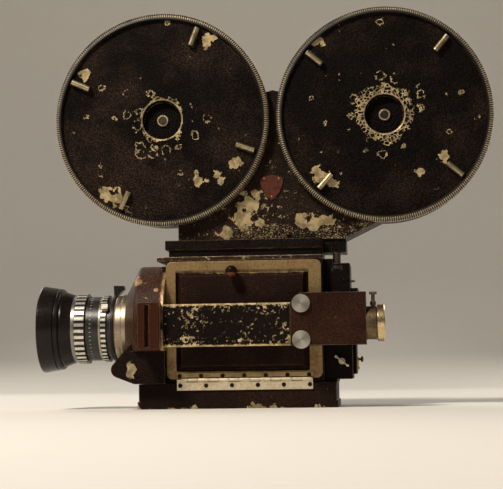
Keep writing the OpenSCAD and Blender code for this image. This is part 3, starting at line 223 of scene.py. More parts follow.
# Body box: a cast chamber behind the door, with a flat cap plate screwed on top.
# Black and brown enamel; the cap plate's edge is rubbed down to pale metal.
dress(enamel("body_black", (0.007, 0.005, 0.004), cream_metal, edge=0.34, chips=0.02), "body_shell")
dress(enamel("cap_brown", (0.030, 0.0145, 0.0082), (0.74, 0.60, 0.41), edge=0.96, chips=0.08, dust=0.9),
      "cap_plate")


# Works behind the door: ground steel gate, claw, sprocket and plate, with a brass gear and blackened rollers.
# Turned and milled pieces, screwed to the mechanism plate; the shutter is silvered on its front.
def plain_metal(name, colour, tarnish, rough=0.32, brushed=(1, 1, 1), grain=900, stain=0.5, metallic=1.0,
                edge=0.35, sheen=0.5, pale_below_and_shadow=None):
    """Bare metal with brush lines, a patchy tarnish and brighter edges."""
    edge_round = 0.0008
    finish, shader, where = start_finish(name)
    lines = where.stretched(brushed).noise(grain, 2, 0.6)
    broad = where.noise(55, 4, 0.6)
    fine = where.noise(420, 3)
    wear, rounded = edge_wear(where, edge_round)
    stained = (broad * 0.7 + fine * 0.45).rise(0.46, 0.72) * stain
    bright = (wear * 0.8 + (fine - 0.5) * 0.8).rise(0.45, 0.85) * edge
    tone = stained.blend(rgb(*colour), rgb(*tarnish))
    if pale_below_and_shadow:
        line, pale, shadow = pale_below_and_shadow
        height = where.part(2)
        lower = stained.blend(rgb(*pale), shade(pale, 0.6))
        tone = (line - height).rise(0.0, 0.0002).blend(tone, lower)
        # Painted shadow: a dark line along the top of the knuckles, where the leaf meets them.
        painted_shadow_line = 1 - abs(height - line).rise(0.0003, 0.0006)
        tone = painted_shadow_line.blend(tone, rgb(*shadow))
    put(bright.blend(tone, shade(colour, 1.25, 0.05)), shader, "Base Color")
    put(rough + (lines - 0.5) * 0.22 + stained * 0.22, shader, "Roughness")
    shader.inputs["Metallic"].default_value = metallic
    shader.inputs["Specular IOR Level"].default_value = sheen
    put(where.relief(0.35, Height=lines * 0.00006 + fine * 0.00004, Normal=rounded), shader, "Normal")
    return finish


steel = plain_metal("ground_steel", (0.56, 0.54, 0.50), (0.30, 0.25, 0.19), brushed=(1, 9, 1))
dress(steel, "mechanism_plate", "aperture_plate", "pressure_plate", "claw", "film_sprocket", "drive_shaft",
      "push_pin", "hinge_pin")
dress(plain_metal("gear_brass", (0.60, 0.43, 0.18), (0.25, 0.15, 0.06)), "sprocket_gear")
blackened = plain_metal("blackened_metal", (0.05, 0.045, 0.042), (0.12, 0.08, 0.055), rough=0.42, edge=0.7)
dress(blackened, "keeper_roller_upper", "keeper_roller_front", "inching_knob", "magazine_lock", "rear_knob",
      "feed_spindle", "takeup_spindle")
mirror, mirror_shader, mirror_where = start_finish("silvered_mirror")
spots = mirror_where.noise(260, 4)
put(spots.rise(0.55, 0.75).blend(rgb(0.88, 0.89, 0.90), rgb(0.70, 0.70, 0.68)), mirror_shader, "Base Color")
put(spots * 0.10 + 0.02, mirror_shader, "Roughness")
mirror_shader.inputs["Metallic"].default_value = 1.0
dress(mirror, "mirror_shutter")


# Door hinge: a long piano hinge, one leaf on the door rail and one on the base, with slotted screws.
# Brass rubbed bright on the base leaf and on the knuckles, olive with handling on the door leaf.
# On the door leaf a dark line is painted along the knuckle top as the shadow between leaf and knuckles.
leaf_thickness = 0.0015
base_leaf_low, base_leaf_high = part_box("base_hinge_leaf")
door_leaf_low, door_leaf_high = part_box("door_hinge_leaf")
leaf_face = base_leaf_high.y - leaf_thickness
knuckle_top = base_leaf_high.z + 0.0001
base_bright = plain_metal("base_leaf_bright", (0.90, 0.80, 0.60), (0.50, 0.37, 0.20), rough=0.42,
                          brushed=(1, 6, 6), stain=0.5)
door_gold = plain_metal("door_leaf_brass", (0.50, 0.37, 0.185), (0.24, 0.155, 0.07), rough=0.42,
                        brushed=(1, 6, 6), stain=0.6,
                        pale_below_and_shadow=(knuckle_top, (0.84, 0.75, 0.56), (0.020, 0.012, 0.007)))
dress(base_bright, "base_hinge_leaf")
dress(door_gold, "door_hinge_leaf")


def slotted_head(radius, height, slot_turn):
    """A low cheese-head screw lying on Z = 0, with its slot cut into the top."""
    slot_half = radius * 0.16
    slot_depth = height * 0.6
    head = bmesh.new()
    bmesh.ops.create_circle(head, cap_ends=True, segments=20, radius=radius)
    for side in (-1, 1):
        bmesh.ops.bisect_plane(head, geom=head.verts[:] + head.edges[:] + head.faces[:],
                               plane_co=(side * slot_half, 0, 0), plane_no=(side, 0, 0))
    slot = [f for f in head.faces if abs(f.calc_center_median().x) < slot_half]
    cut = bmesh.ops.extrude_face_region(head, geom=slot)
    floor_verts = [v for v in cut["geom"] if isinstance(v, bmesh.types.BMVert)]
    bmesh.ops.delete(head, geom=slot, context="FACES")
    bmesh.ops.translate(head, verts=floor_verts, vec=(0, 0, -slot_depth))
    wall = bmesh.ops.extrude_edge_only(head, edges=[e for e in head.edges if e.is_boundary])
    foot = [v for v in wall["geom"] if isinstance(v, bmesh.types.BMVert)]
    for v in foot:
        v.co.z = -height
    bmesh.ops.contextual_create(head, geom=[e for e in head.edges if e.is_boundary])
    bmesh.ops.translate(head, verts=head.verts[:], vec=(0, 0, height))
    bmesh.ops.remove_doubles(head, verts=head.verts[:], dist=1e-7)
    bmesh.ops.recalc_face_normals(head, faces=head.faces[:])
    bmesh.ops.rotate(head, verts=head.verts[:], cent=(0, 0, 0), matrix=Matrix.Rotation(slot_turn, 3, "Z"))
    return head


def add_piece(name, shape, finish, body, crease):
    mesh = bpy.data.meshes.new(name)
    shape.to_mesh(mesh)
    shape.free()
    piece = bpy.data.objects.new(name, mesh)
    bpy.context.scene.collection.objects.link(piece)
    mesh.materials.append(finish)
    mesh.shade_smooth()
    mesh.set_sharp_from_angle(angle=crease)
    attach(piece, body)
    return piece


def gather(shapes):
    """Several small shapes, each moved to its own place, in one bmesh."""
    whole = bmesh.new()
    for shape, place in shapes:
        bmesh.ops.transform(shape, verts=shape.verts[:], matrix=place)
        scratch = bpy.data.meshes.new("scratch")
        shape.to_mesh(scratch)
        shape.free()
        whole.from_mesh(scratch)
        bpy.data.meshes.remove(scratch)
    return whole


def facing_door(x, y, z):
    """Place for a head that looks towards the door side."""
    return Matrix.Translation((x, y, z)) @ Matrix.Rotation(math.radians(90), 4, "X")


screw_crease = 0.6
leaf_screw_r = 0.0019
leaf_screw_h = 0.0005
door_row = door_leaf_high.z - 0.0027
door_first = door_leaf_low.x + 0.0025
door_pitch = 0.0189
base_row = base_leaf_low.z + 0.0041
base_first = base_leaf_low.x + 0.0030
base_pitch = 0.02268
screw_dark = plain_metal("screw_dark", (0.030, 0.018, 0.010), (0.075, 0.048, 0.026), rough=0.45, stain=0.5,
                         edge=0.1)
door_screws = [(slotted_head(leaf_screw_r, leaf_screw_h, 0.7 * i),
                facing_door(door_first + door_pitch * i, leaf_face, door_row)) for i in range(7)]
add_piece("door_leaf_screws", gather(door_screws), screw_dark, "door", screw_crease)
base_screws = [(slotted_head(leaf_screw_r, leaf_screw_h, 1.1 * i),
                facing_door(base_first + base_pitch * i, leaf_face, base_row)) for i in range(6)]
add_piece("base_leaf_screws", gather(base_screws), screw_dark, "camera", screw_crease)


# Gear cover: a flat brown plate over the gears, held by six slotted screws of blackened steel.
# Each head lies on the cover's border, which stands lower than the boss that carries the motor.
dress(enamel("cover_crinkle", (0.018, 0.0085, 0.0052), cream_metal, edge=0.30, chips=0.03), "side_cover")
cover_low, cover_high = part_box("side_cover")
boss_height = 0.0024
cover_face = cover_high.y - boss_height
cover_border = 0.006
cover_columns = [cover_low.x + cover_border, (cover_low.x + cover_high.x) / 2, cover_high.x - cover_border]
cover_rows = [cover_low.z + cover_border, cover_high.z - cover_border]
away_from_door = Matrix.Rotation(math.radians(-90), 4, "X")
cover_screws = [(slotted_head(0.0022, 0.0008, x * 70 + z * 40),
                 Matrix.Translation((x, cover_face, z)) @ away_from_door)
                for x in cover_columns for z in cover_rows]
add_piece("cover_screws", gather(cover_screws), blackened, "camera", screw_crease)


# Door: a flat frame of worn olive brass round a raised crinkle panel with bevelled edges.
# A domed latch knob turns in the panel's upper edge; its underside is rubbed to a red tint.
bevel_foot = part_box("door_panel")[1].z - 0.0075
knob_low, knob_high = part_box("latch_knob")
thumb_line = (knob_low.z + knob_high.z) / 2 - 0.0004


# Painted highlight: pale metal on the panel's upper bevel only, where light from above falls.
def lit_upper_bevel(where, fine, broad):
    above = where.part(2) - bevel_foot
    return (above * 260 + (fine - 0.5) * 1.6 + (broad - 0.5) * 1.2).rise(0.35, 0.55)


def thumb_wear(where, fine, broad):
    return ((thumb_line - where.part(2)) * 420 + (fine - 0.5) * 0.8).rise(0.0, 0.5)


dress(plain_metal("door_frame_olive", (0.39, 0.268, 0.128), (0.175, 0.106, 0.050), rough=0.44,
                  brushed=(5, 1, 5), grain=700, stain=0.7, edge=0.7), "door_frame")
dress(enamel("door_crinkle", (0.0185, 0.0070, 0.0042), (0.46, 0.35, 0.18), edge=0.40, chips=0.0, dust=0.6,
             extra=lit_upper_bevel), "door_panel")
dress(enamel("latch_dark", (0.010, 0.006, 0.005), (0.16, 0.060, 0.034), edge=0.40, chips=0.02,
             crinkle=0.00003, gloss=0.34, extra=thumb_wear), "latch_knob")


# Finder on the door: a rectangular cast tube in badly chipped black paint, and a deeper prism housing
# in brown crinkle, held by two large turned screw heads. The eyepiece has a bright focusing ring.
tube_low, tube_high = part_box("finder_tube")
tube_face = tube_low.y + 0.0012
tube_top = tube_high.z - 0.0033
tube_foot = tube_low.z + 0.0032
tube_middle = (tube_low.z + tube_high.z) / 2


def tube_chips(where, fine, broad):
    height = where.part(2)
    near_face = (tube_face - where.part(1) + (fine - 0.5) * 0.006).rise(0.0, 0.0006)
    top = ((height - tube_top) * 420 + (fine - 0.5) * 2.2).rise(0.55, 0.95)
    foot = ((tube_foot - height) * 420 + (fine - 0.5) * 2.2).rise(0.55, 0.95)
    edges = abs(height - tube_middle).rise(0.006, 0.017)
    groups = (where.noise(34, 3) - 0.5) * 0.30
    loose = (where.noise(250, 5, 0.68, 0.7) + groups + edges * 0.055).rise(0.620, 0.628)
    flakes = loose.most(flecks(where, 520, 0.07))
    return (top.most(foot) * near_face).most(flakes)


dress(enamel("finder_black", (0.0085, 0.0050, 0.0037), (0.76, 0.59, 0.33), edge=0.62, chips=0.05, dust=0.3,
             extra=tube_chips, crinkle=0.00012), "finder_tube")
dress(enamel("prism_crinkle", (0.028, 0.0104, 0.0056), (0.46, 0.34, 0.18), edge=0.70, chips=0.02, dust=0.5,
             crest_shading=0.4), "finder_prism_housing")
discs_low, discs_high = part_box("finder_screws")
disc_r = (discs_high.x - discs_low.x) / 2
discs_middle = (discs_low + discs_high) / 2
disc_rise = discs_high.z - disc_r - discs_middle.z
disc_silver, disc_shader, disc_where = start_finish("turned_silver")
disc_across = disc_where.part(0) - discs_middle.x
disc_over = abs(disc_where.part(2) - discs_middle.z) - disc_rise
disc_turn = disc_over.sums("ARCTAN2", disc_across)
disc_reach = (disc_across * disc_across + disc_over * disc_over) ** 0.5
disc_polar = disc_turn.node("CombineXYZ", {}, {0: disc_turn * 9.0, 1: disc_reach * 40.0, 2: 0.0})
# Painted reflection of the turned face: a sweep lighter and darker by angle round the centre and radial sheen
# streaks, with a little stain mixed in.
disc_ray_sheen = disc_polar.noise(3.2, 4, 0.7)
disc_glint = (disc_turn * 2.0 + 0.9).wave("COSINE") * 0.5 + 0.5
disc_stain = disc_where.noise(330, 4).rise(0.5, 0.72)
disc_sheen_and_stain = disc_glint * 0.62 + disc_ray_sheen * 0.36 + disc_stain * 0.12
put(disc_sheen_and_stain.blend(rgb(0.88, 0.84, 0.76), rgb(0.30, 0.26, 0.21)), disc_shader, "Base Color")
put(disc_ray_sheen * 0.24 + 0.20, disc_shader, "Roughness")
put(disc_where.relief(0.25, Height=(disc_reach * 7200.0).wave("SINE") * 0.00003), disc_shader, "Normal")
disc_shader.inputs["Metallic"].default_value = 1.0
dress(disc_silver, "finder_screws")
dress(plain_metal("eyepiece_dark_brass", (0.22, 0.16, 0.085), (0.06, 0.04, 0.028), rough=0.42, stain=0.8,
                  edge=0.8), "eyepiece_tube")
dress(plain_metal("eyepiece_bright", (0.80, 0.64, 0.37), (0.36, 0.24, 0.10), rough=0.24, brushed=(8, 1, 1),
                  stain=0.35), "eyepiece_ring")
dress(plain_metal("clamp_bronze", (0.16, 0.11, 0.075), (0.07, 0.045, 0.03), rough=0.40, edge=0.8),
      "eyepiece_clamp")
glass, glass_shader, glass_where = start_finish("coated_glass")
glass_dust = glass_where.noise(300, 4).rise(0.5, 0.8)
put(glass_dust.blend(rgb(0.05, 0.055, 0.075), rgb(0.10, 0.09, 0.085)), glass_shader, "Base Color")
put(glass_dust * 0.10 + 0.03, glass_shader, "Roughness")
glass_shader.inputs["Coat Weight"].default_value = 1.0
glass_shader.inputs["Coat Roughness"].default_value = 0.02
dress(glass, "finder_prism", "finder_lenses", "lens_glasses")


# Front castings: the shutter housing's cone in brown crinkle, the rounded lower cover under it
# and the red-brown slotted block for filters. The rear edge of the cone is rubbed pale.
cone_rub_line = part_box("front_housing")[1].x - 0.0048
cone_bald = [(-0.0868, 0.1125, 0.0044), (-0.0690, 0.1040, 0.0022)]
nose_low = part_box("lower_front_cover")[0]
nose_bald = Vector((nose_low.x + 0.0178, nose_low.y, nose_low.z + 0.0122))
nose_bald_r = 0.0085
nose_narrow = 1.8


def cone_rub(where, fine, broad):
    bald = (where.part(0) - cone_rub_line) * 300 + (fine - 0.5) * 1.1 + (broad - 0.5) * 1.2
    bald = bald.rise(0.35, 0.95) * 0.9
    door_side = (0 - where.part(1)).rise(0.0, 0.002)
    flat = where.stretched((1.0, 0.0, 1.0))
    for along, height, size in cone_bald:
        patch = 1 - flat.distance((along, 0.0, height)) / size + (fine - 0.5) * 1.0
        patch = (patch + (where.noise(190, 3) - 0.5) * 1.8).rise(0.10, 0.24)
        bald = bald.most(patch * door_side * 0.75)
    return bald


def nose_chip(where, fine, broad):
    squeezed = where.stretched((nose_narrow, 1.0, 1.0))
    spot = squeezed.distance((nose_bald.x * nose_narrow, nose_bald.y, nose_bald.z))
    return (1 - spot / nose_bald_r + (fine - 0.5) * 1.2 + (where.noise(150, 3) - 0.5) * 1.2).rise(0.14, 0.24)


dress(enamel("cone_crinkle", (0.052, 0.0210, 0.0108), (0.60, 0.38, 0.205), edge=0.36, chips=0.07, dust=0.7,
             gloss=0.40, sheen=0.14, extra=cone_rub), "front_housing")
dress(enamel("nose_brown", (0.0130, 0.0058, 0.0036), (0.56, 0.44, 0.26), edge=0.32, chips=0.03,
             extra=nose_chip), "lower_front_cover")
dress(enamel("filter_red_brown", (0.046, 0.0125, 0.0068), (0.50, 0.36, 0.20), edge=0.46, chips=0.0, dust=0.15,
             crinkle=0.00005, crest_shading=0.2, gloss=0.42), "filter_block")


# Lens: satin black barrel and hood, two fluted rings with pale lands, plated mount rings with a gold tarnish.
# All turned; the flutes are milled and their floors blackened, and a row of ticks is marked on the barrel.
hood_low, hood_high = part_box("lens_hood")
lens_axis = (hood_low.z + hood_high.z) / 2
land_depth = 0.00042


def satin_black(name, colour, rough, edge):
    return plain_metal(name, colour, shade(colour, 1.6, 0.003)[:3], rough=rough, brushed=(12, 1, 1),
                       stain=0.4, metallic=0.0, edge=edge, sheen=0.22)


def fluted_ring(name, node):
    ring_low, ring_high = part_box(node)
    land_foot = (ring_high.z - ring_low.z) / 2 - land_depth
    finish, shader, where = start_finish(name)
    beside = where.part(1)
    above = where.part(2) - lens_axis
    out = (beside * beside + above * above) ** 0.5
    land = (out - land_foot).rise(-0.00008, 0.00008)
    grime = where.noise(240, 4, 0.62)
    pale = grime.rise(0.45, 0.75).blend(rgb(0.78, 0.74, 0.66), rgb(0.36, 0.30, 0.22))
    put(land.blend(rgb(0.010, 0.009, 0.009), pale), shader, "Base Color")
    put(land * 0.75, shader, "Metallic")
    put(grime * 0.25 + 0.22 - land * 0.04, shader, "Roughness")
    put(where.relief(0.3, Height=where.noise(900, 2) * 0.00004), shader, "Normal")
    dress(finish, node)


dress(satin_black("hood_black", (0.0080, 0.0052, 0.0042), 0.27, 0.30), "lens_hood")
dress(satin_black("lock_black", (0.010, 0.008, 0.007), 0.36, 0.55), "lens_lock_ring")
fluted_ring("focus_lands", "focus_ring")
fluted_ring("aperture_lands", "aperture_ring")
collar_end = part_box("focus_ring")[0].x - 0.0001
aperture_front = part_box("aperture_ring")[0].x
band_front = aperture_front - 0.0021
band_rear = aperture_front - 0.0003
ticks_front = aperture_front - 0.0103
ticks_rear = aperture_front - 0.0087
ticks_round = 48.0
barrel, barrel_shader, barrel_where = start_finish("barrel_black")


def between(tone, low, high):
    return (tone - low).rise(0, 0.0002) * (high - tone).rise(0, 0.0002)


barrel_along = barrel_where.part(0)
barrel_grime = barrel_where.noise(260, 4)
grey_collar = (collar_end - barrel_along).rise(0, 0.0002)
silver_band = between(barrel_along, band_front, band_rear)
barrel_turn = (barrel_where.part(2) - lens_axis).sums("ARCTAN2", barrel_where.part(1))
tick = (barrel_turn * ticks_round).wave("COSINE").rise(0.90, 0.97)
ticks = tick * between(barrel_along, ticks_front, ticks_rear) * barrel_grime.rise(0.30, 0.45)
black_coat = barrel_grime.rise(0.4, 0.75).blend(rgb(0.012, 0.011, 0.011), rgb(0.030, 0.026, 0.023))
barrel_coat = grey_collar.blend(black_coat, rgb(0.26, 0.245, 0.225))
barrel_coat = ticks.blend(barrel_coat, rgb(0.62, 0.58, 0.50))
put(silver_band.blend(barrel_coat, rgb(0.40, 0.345, 0.27)), barrel_shader, "Base Color")
put(silver_band.most(grey_collar) * 0.85, barrel_shader, "Metallic")
put(barrel_grime * 0.26 + 0.20, barrel_shader, "Roughness")
put(barrel_where.relief(0.3, Height=barrel_where.stretched((14, 1, 1)).noise(600, 2) * 0.00005),
    barrel_shader, "Normal")
dress(barrel, "lens_barrel")
dress(plain_metal("mount_plated", (0.47, 0.385, 0.285), (0.19, 0.13, 0.08), rough=0.36, brushed=(10, 1, 1),
                  stain=0.45, edge=0.4), "lens_mount")


# Rear castings behind the film chamber: black boxes with a brass terminal plate, a wing screw and a push pin.
# The terminal plate is held by four small screws at its corners.
dress(enamel("rear_black", (0.0055, 0.0037, 0.0029), cream_metal, edge=0.42, chips=0.02, dust=0.25),
      "rear_housing", "rear_upper_box")
dress(plain_metal("terminal_brass", (0.58, 0.42, 0.17), (0.22, 0.13, 0.05), rough=0.32, stain=0.5),
      "terminal_plate")
dress(plain_metal("wing_brass", (0.72, 0.62, 0.42), (0.28, 0.19, 0.09), rough=0.28, stain=0.5), "wing_screw")
plate_low, plate_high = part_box("terminal_plate")
plate_border = 0.002
facing_rear = Matrix.Rotation(math.radians(90), 4, "Y")
plate_corners = [(y, z) for z in (plate_low.z + plate_border, plate_high.z - plate_border)
                 for y in (plate_low.y + plate_border, plate_high.y - plate_border)]
terminal_screws = [(slotted_head(0.0011, 0.0004, 0.9 * i),
                    Matrix.Translation((plate_high.x, y, z)) @ facing_rear)
                   for i, (y, z) in enumerate(plate_corners)]
add_piece("terminal_screws", gather(terminal_screws), screw_dark, "camera", screw_crease)


# Motor on the gear side: a ribbed drum in black enamel with a fluted knob on its end.
# The take-up belt beside it is plain brown leather, joined into a loop.
dress(enamel("motor_black", (0.008, 0.006, 0.005), (0.40, 0.32, 0.20), edge=0.28, chips=0.03),
      "motor_housing")
leather, leather_shader, leather_where = start_finish("belt_leather")
pores = leather_where.node("TexVoronoi", {}, {"Vector": leather_where, "Scale": 1500})
rub = leather_where.noise(120, 4)
leather_tone = rub.rise(0.35, 0.7).blend(rgb(0.10, 0.050, 0.026), rgb(0.035, 0.018, 0.010))
put(leather_tone, leather_shader, "Base Color")
put(rub * 0.3 + 0.45, leather_shader, "Roughness")
put(leather_where.relief(0.6, Height=pores * 0.0002), leather_shader, "Normal")
dress(leather, "takeup_belt")


# Magazine seat and casting: a black dovetail rail, and above it the two drums with the web between them.
# The web is worn to pale metal in broad patches and carries a copper-red shield plate with three rivets.
shield_low, shield_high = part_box("shield_plate")
web_face = shield_high.y
web_back = web_face + 0.0015
foot_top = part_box("magazine_casting")[0].z + 0.0145
web_bald = [(0.011, 0.181, 0.010), (0.006, 0.167, 0.010), (0.018, 0.189, 0.006), (0.020, 0.163, 0.005),
            (0.058, 0.164, 0.008), (0.070, 0.162, 0.009), (0.083, 0.164, 0.006), (-0.010, 0.155, 0.006)]


def web_patches(where, fine, broad):
    bald = flecks(where, 190, 0.09).most(flecks(where, 520, 0.08))
    ragged = (where.noise(130, 4, 0.6) - 0.5) * 3.0 + (fine - 0.5) * 0.6
    for across, height, size in web_bald:
        spot = where.distance((across, web_face, height))
        bald = bald.most((0.95 - spot / size + ragged).rise(0.06, 0.14))
    low_down = (foot_top - where.part(2) + (broad - 0.5) * 0.014).rise(0.0, 0.004)
    to_rear = where.part(0).rise(-0.030, 0.040)
    specks = (where.noise(820, 3, 0.6) + (broad - 0.5) * 0.35).rise(0.58, 0.61)
    bald = bald.most(specks * low_down * to_rear)
    return bald * (web_back - where.part(1)).rise(0, 0.0004)


dress(enamel("seat_black", (0.0050, 0.0032, 0.0024), (0.34, 0.21, 0.105), edge=0.62, chips=0.03, dust=0.35,
             gloss=0.44), "magazine_seat")
dress(enamel("drum_black", (0.0120, 0.0066, 0.0044), cream_metal, edge=0.42, chips=0.08, dust=0.9,
             extra=web_patches), "magazine_casting")
copper, copper_shader, copper_where = start_finish("copper_shield")
copper_edge, copper_round = edge_wear(copper_where, 0.0012)
patina = copper_where.noise(230, 5, 0.62) + copper_edge * 0.35
copper_tone = patina.rise(0.35, 0.72).blend(rgb(0.135, 0.036, 0.017), rgb(0.040, 0.013, 0.008))
put(copper_tone, copper_shader, "Base Color")
put(patina * 0.35 + 0.28, copper_shader, "Roughness")
put(copper_where.relief(0.4, Height=patina * 0.0002, Normal=copper_round), copper_shader, "Normal")
copper_shader.inputs["Metallic"].default_value = 0.55
dress(copper, "shield_plate")


def domed_rivet(radius, height):
    rivet = bmesh.new()
    ridge = [rivet.verts.new((radius * math.cos(a), 0, height * math.sin(a)))
             for a in [math.radians(d) for d in range(0, 91, 15)]]
    for low, high in zip(ridge, ridge[1:]):
        rivet.edges.new((low, high))
    bmesh.ops.spin(rivet, geom=rivet.verts[:] + rivet.edges[:], cent=(0, 0, 0), axis=(0, 0, 1),
                   angle=math.tau, steps=20, use_merge=True)
    bmesh.ops.remove_doubles(rivet, verts=rivet.verts[:], dist=1e-6)
    bmesh.ops.contextual_create(rivet, geom=[e for e in rivet.edges if e.is_boundary])
    bmesh.ops.recalc_face_normals(rivet, faces=rivet.faces[:])
    return rivet


shield_middle = (shield_low.x + shield_high.x) / 2
shield_half = 0.0065
shield_upper = shield_high.z - 0.0030
shield_lower = shield_low.z + 0.0035
shield_places = [(shield_middle - shield_half, shield_upper), (shield_middle + shield_half, shield_upper),
                 (shield_middle, shield_lower)]
shield_rivets = [(domed_rivet(0.0010, 0.0006), facing_door(x, shield_low.y, z)) for x, z in shield_places]
rivet_copper = plain_metal("rivet_copper", (0.52, 0.28, 0.15), (0.20, 0.09, 0.045), rough=0.34)
add_piece("shield_rivets", gather(shield_rivets), rivet_copper, "camera", screw_crease)
web_rivet_places = [(0.0345, 0.1546), (0.0460, 0.1526)]
web_screw_x = 0.0516
web_screw_z = 0.1738
web_fixings = [(domed_rivet(0.0021, 0.0016), facing_door(x, web_face, z)) for x, z in web_rivet_places]
web_fixings.append((slotted_head(0.0014, 0.0005, 0.5), facing_door(web_screw_x, web_face, web_screw_z)))
add_piece("web_rivets", gather(web_fixings), blackened, "camera", screw_crease)


# Lids: pressed discs in black crinkle enamel, screwed on by a knurled grip rim and four half-round lugs.
# The paint is chipped to cream metal, most of all round the centre cup; the knurl is worn bright and painted
# lighter to the lower right.
cup_edge = 0.0172
cup_lip = 0.0180
hub_in = 0.0036
hub_out = 0.0052
lid_bald = {"feed": [(0.043, 0.070, 0.007), (-0.070, 0.042, 0.006), (-0.050, -0.066, 0.008),
                     (-0.042, -0.071, 0.007), (0.065, -0.040, 0.007), (0.051, -0.053, 0.006),
                     (0.031, -0.054, 0.006)],
            "takeup": [(-0.060, -0.052, 0.008), (-0.048, -0.060, 0.006), (-0.058, 0.066, 0.006),
                       (0.030, -0.052, 0.005), (0.052, -0.040, 0.006)]}
lid_blistered = {"feed": 0.0205, "takeup": 0.0260}
lid_dust = {"feed": 1.0, "takeup": 0.65}


def drum_centre(side):
    """Middle of a drum, to a tenth of a millimetre, because the box of a faceted ring is a hair off."""
    low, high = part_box(side + "_lid_rim")
    return round((low.x + high.x) / 2, 4), round((low.z + high.z) / 2, 4)


def round_drum(where, side):
    centre_x, centre_z = drum_centre(side)
    beside = where.part(0) - centre_x
    above = where.part(2) - centre_z
    return beside, above, (beside * beside + above * above) ** 0.5


def lid_finish(side):
    centre_x, centre_z = drum_centre(side)
    lid_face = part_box(side + "_lid")[0].y

    def losses(where, fine, broad):
        away = round_drum(where, side)[2]
        near = 1 - away.rise(0.020, 0.050)
        cells = {"Vector": where, "Scale": 84.0, "Randomness": 1.0}
        ragged = (where.noise(300, 4, 0.65) - 0.5) * 0.75
        spread = where.node("TexVoronoi", {}, cells, "Distance") + ragged
        lot = where.node("TexVoronoi", {}, cells, "Color").part(0)
        reach = ((lot - 0.66 + near * 0.50) * 0.70).least(0.33)
        ring = (1 - abs(spread - reach).rise(0.022, 0.060)) * (reach - 0.02).rise(0.0, 0.06)
        ring = ring * where.noise(230, 3).rise(0.42, 0.50)
        blister = where.node("TexVoronoi", {"feature": "DISTANCE_TO_EDGE"}, {"Vector": where, "Scale": 310.0})
        zone = (lid_blistered[side] - away + (where.noise(75, 3) - 0.5) * 0.030).rise(0.0, 0.0015)
        collar = (1 - blister.rise(0.06, 0.15)) * zone * where.noise(260, 3).rise(0.36, 0.46)
        lip = 1 - abs(away - cup_lip).rise(0.0004, 0.0018)
        bald = ring.most(collar).most((lip * 0.6 + (fine - 0.5) * 1.1 + (broad - 0.5) * 0.8).rise(0.36, 0.56))
        frayed = (fine - 0.5) * 0.8 + (where.noise(140, 3) - 0.5) * 3.4
        for right_by, up_by, size in lid_bald[side]:
            spot = where.distance((centre_x + right_by, lid_face, centre_z + up_by))
            bald = bald.most((0.9 - spot / size + frayed).rise(0.06, 0.16))
        hub = (away - hub_in).rise(0.0, 0.0003) * (hub_out - away).rise(0.0, 0.0003)
        hub = (hub + (fine - 0.5) * 0.8).rise(0.45, 0.75)
        return (bald * (away - cup_edge).rise(0.0, 0.0008)).most(hub)

    def oil(where, cloud):
        return (round_drum(where, side)[2] + (cloud - 0.5) * 0.16).rise(0.030, 0.070)

    return enamel(side + "_lid_crinkle", (0.0040, 0.0023, 0.0017), cream_metal, edge=0.26, chips=0.03,
                  dust=lid_dust[side], film=(0.024, 0.0130, 0.0085), crinkle=0.00030, grain=720, crest_shading=0.65,
                  gloss=0.54, sheen=0.06, extra=losses, oily=oil)


rim_teeth = 304
rim_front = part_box("feed_lid_rim")[0].y
rim_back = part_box("feed_lid_rim")[1].y
rim_in = 0.0900
rim_seat = 0.0934
rim_out = 0.09595
grip_from = 0.0918
tooth_depth = 0.00055
tooth_face_depth = 0.0005
rim_profile = [(rim_in, rim_front + 0.0060), (rim_in, rim_front + 0.0010), (rim_in + 0.0010, rim_front),
               (0.0931, rim_front), (0.0943, rim_front + 0.0002), (0.0952, rim_front + 0.0008),
               (0.0957, rim_front + 0.0017), (rim_out, rim_front + 0.0028), (rim_out, rim_back - 0.0007),
               (0.0957, rim_back), (rim_seat, rim_back), (rim_seat, rim_front + 0.0060)]


def knurled_rim(side):
    centre_x, centre_z = drum_centre(side)
    rim = bmesh.new()
    ring = [rim.verts.new((r, y, 0)) for r, y in rim_profile]
    for a, b in zip(ring, ring[1:] + ring[:1]):
        rim.edges.new((a, b))
    bmesh.ops.spin(rim, geom=rim.verts[:] + rim.edges[:], cent=(0, 0, 0), axis=(0, 1, 0), angle=math.tau,
                   steps=rim_teeth * 2, use_merge=True)
    bmesh.ops.remove_doubles(rim, verts=rim.verts[:], dist=1e-6)
    bmesh.ops.recalc_face_normals(rim, faces=rim.faces[:])
    for v in rim.verts:
        out = math.hypot(v.co.x, v.co.z)
        notch = round(math.atan2(v.co.z, v.co.x) / math.tau * rim_teeth * 2)
        if notch % 2 and out > grip_from + 0.0007 and v.co.y < rim_back - 0.0001:
            v.co.x *= (out - tooth_depth) / out
            v.co.z *= (out - tooth_depth) / out
            if v.co.y < rim_front + 0.0014:
                v.co.y += tooth_face_depth
    bmesh.ops.translate(rim, verts=rim.verts[:], vec=(centre_x, 0, centre_z))
    return rim


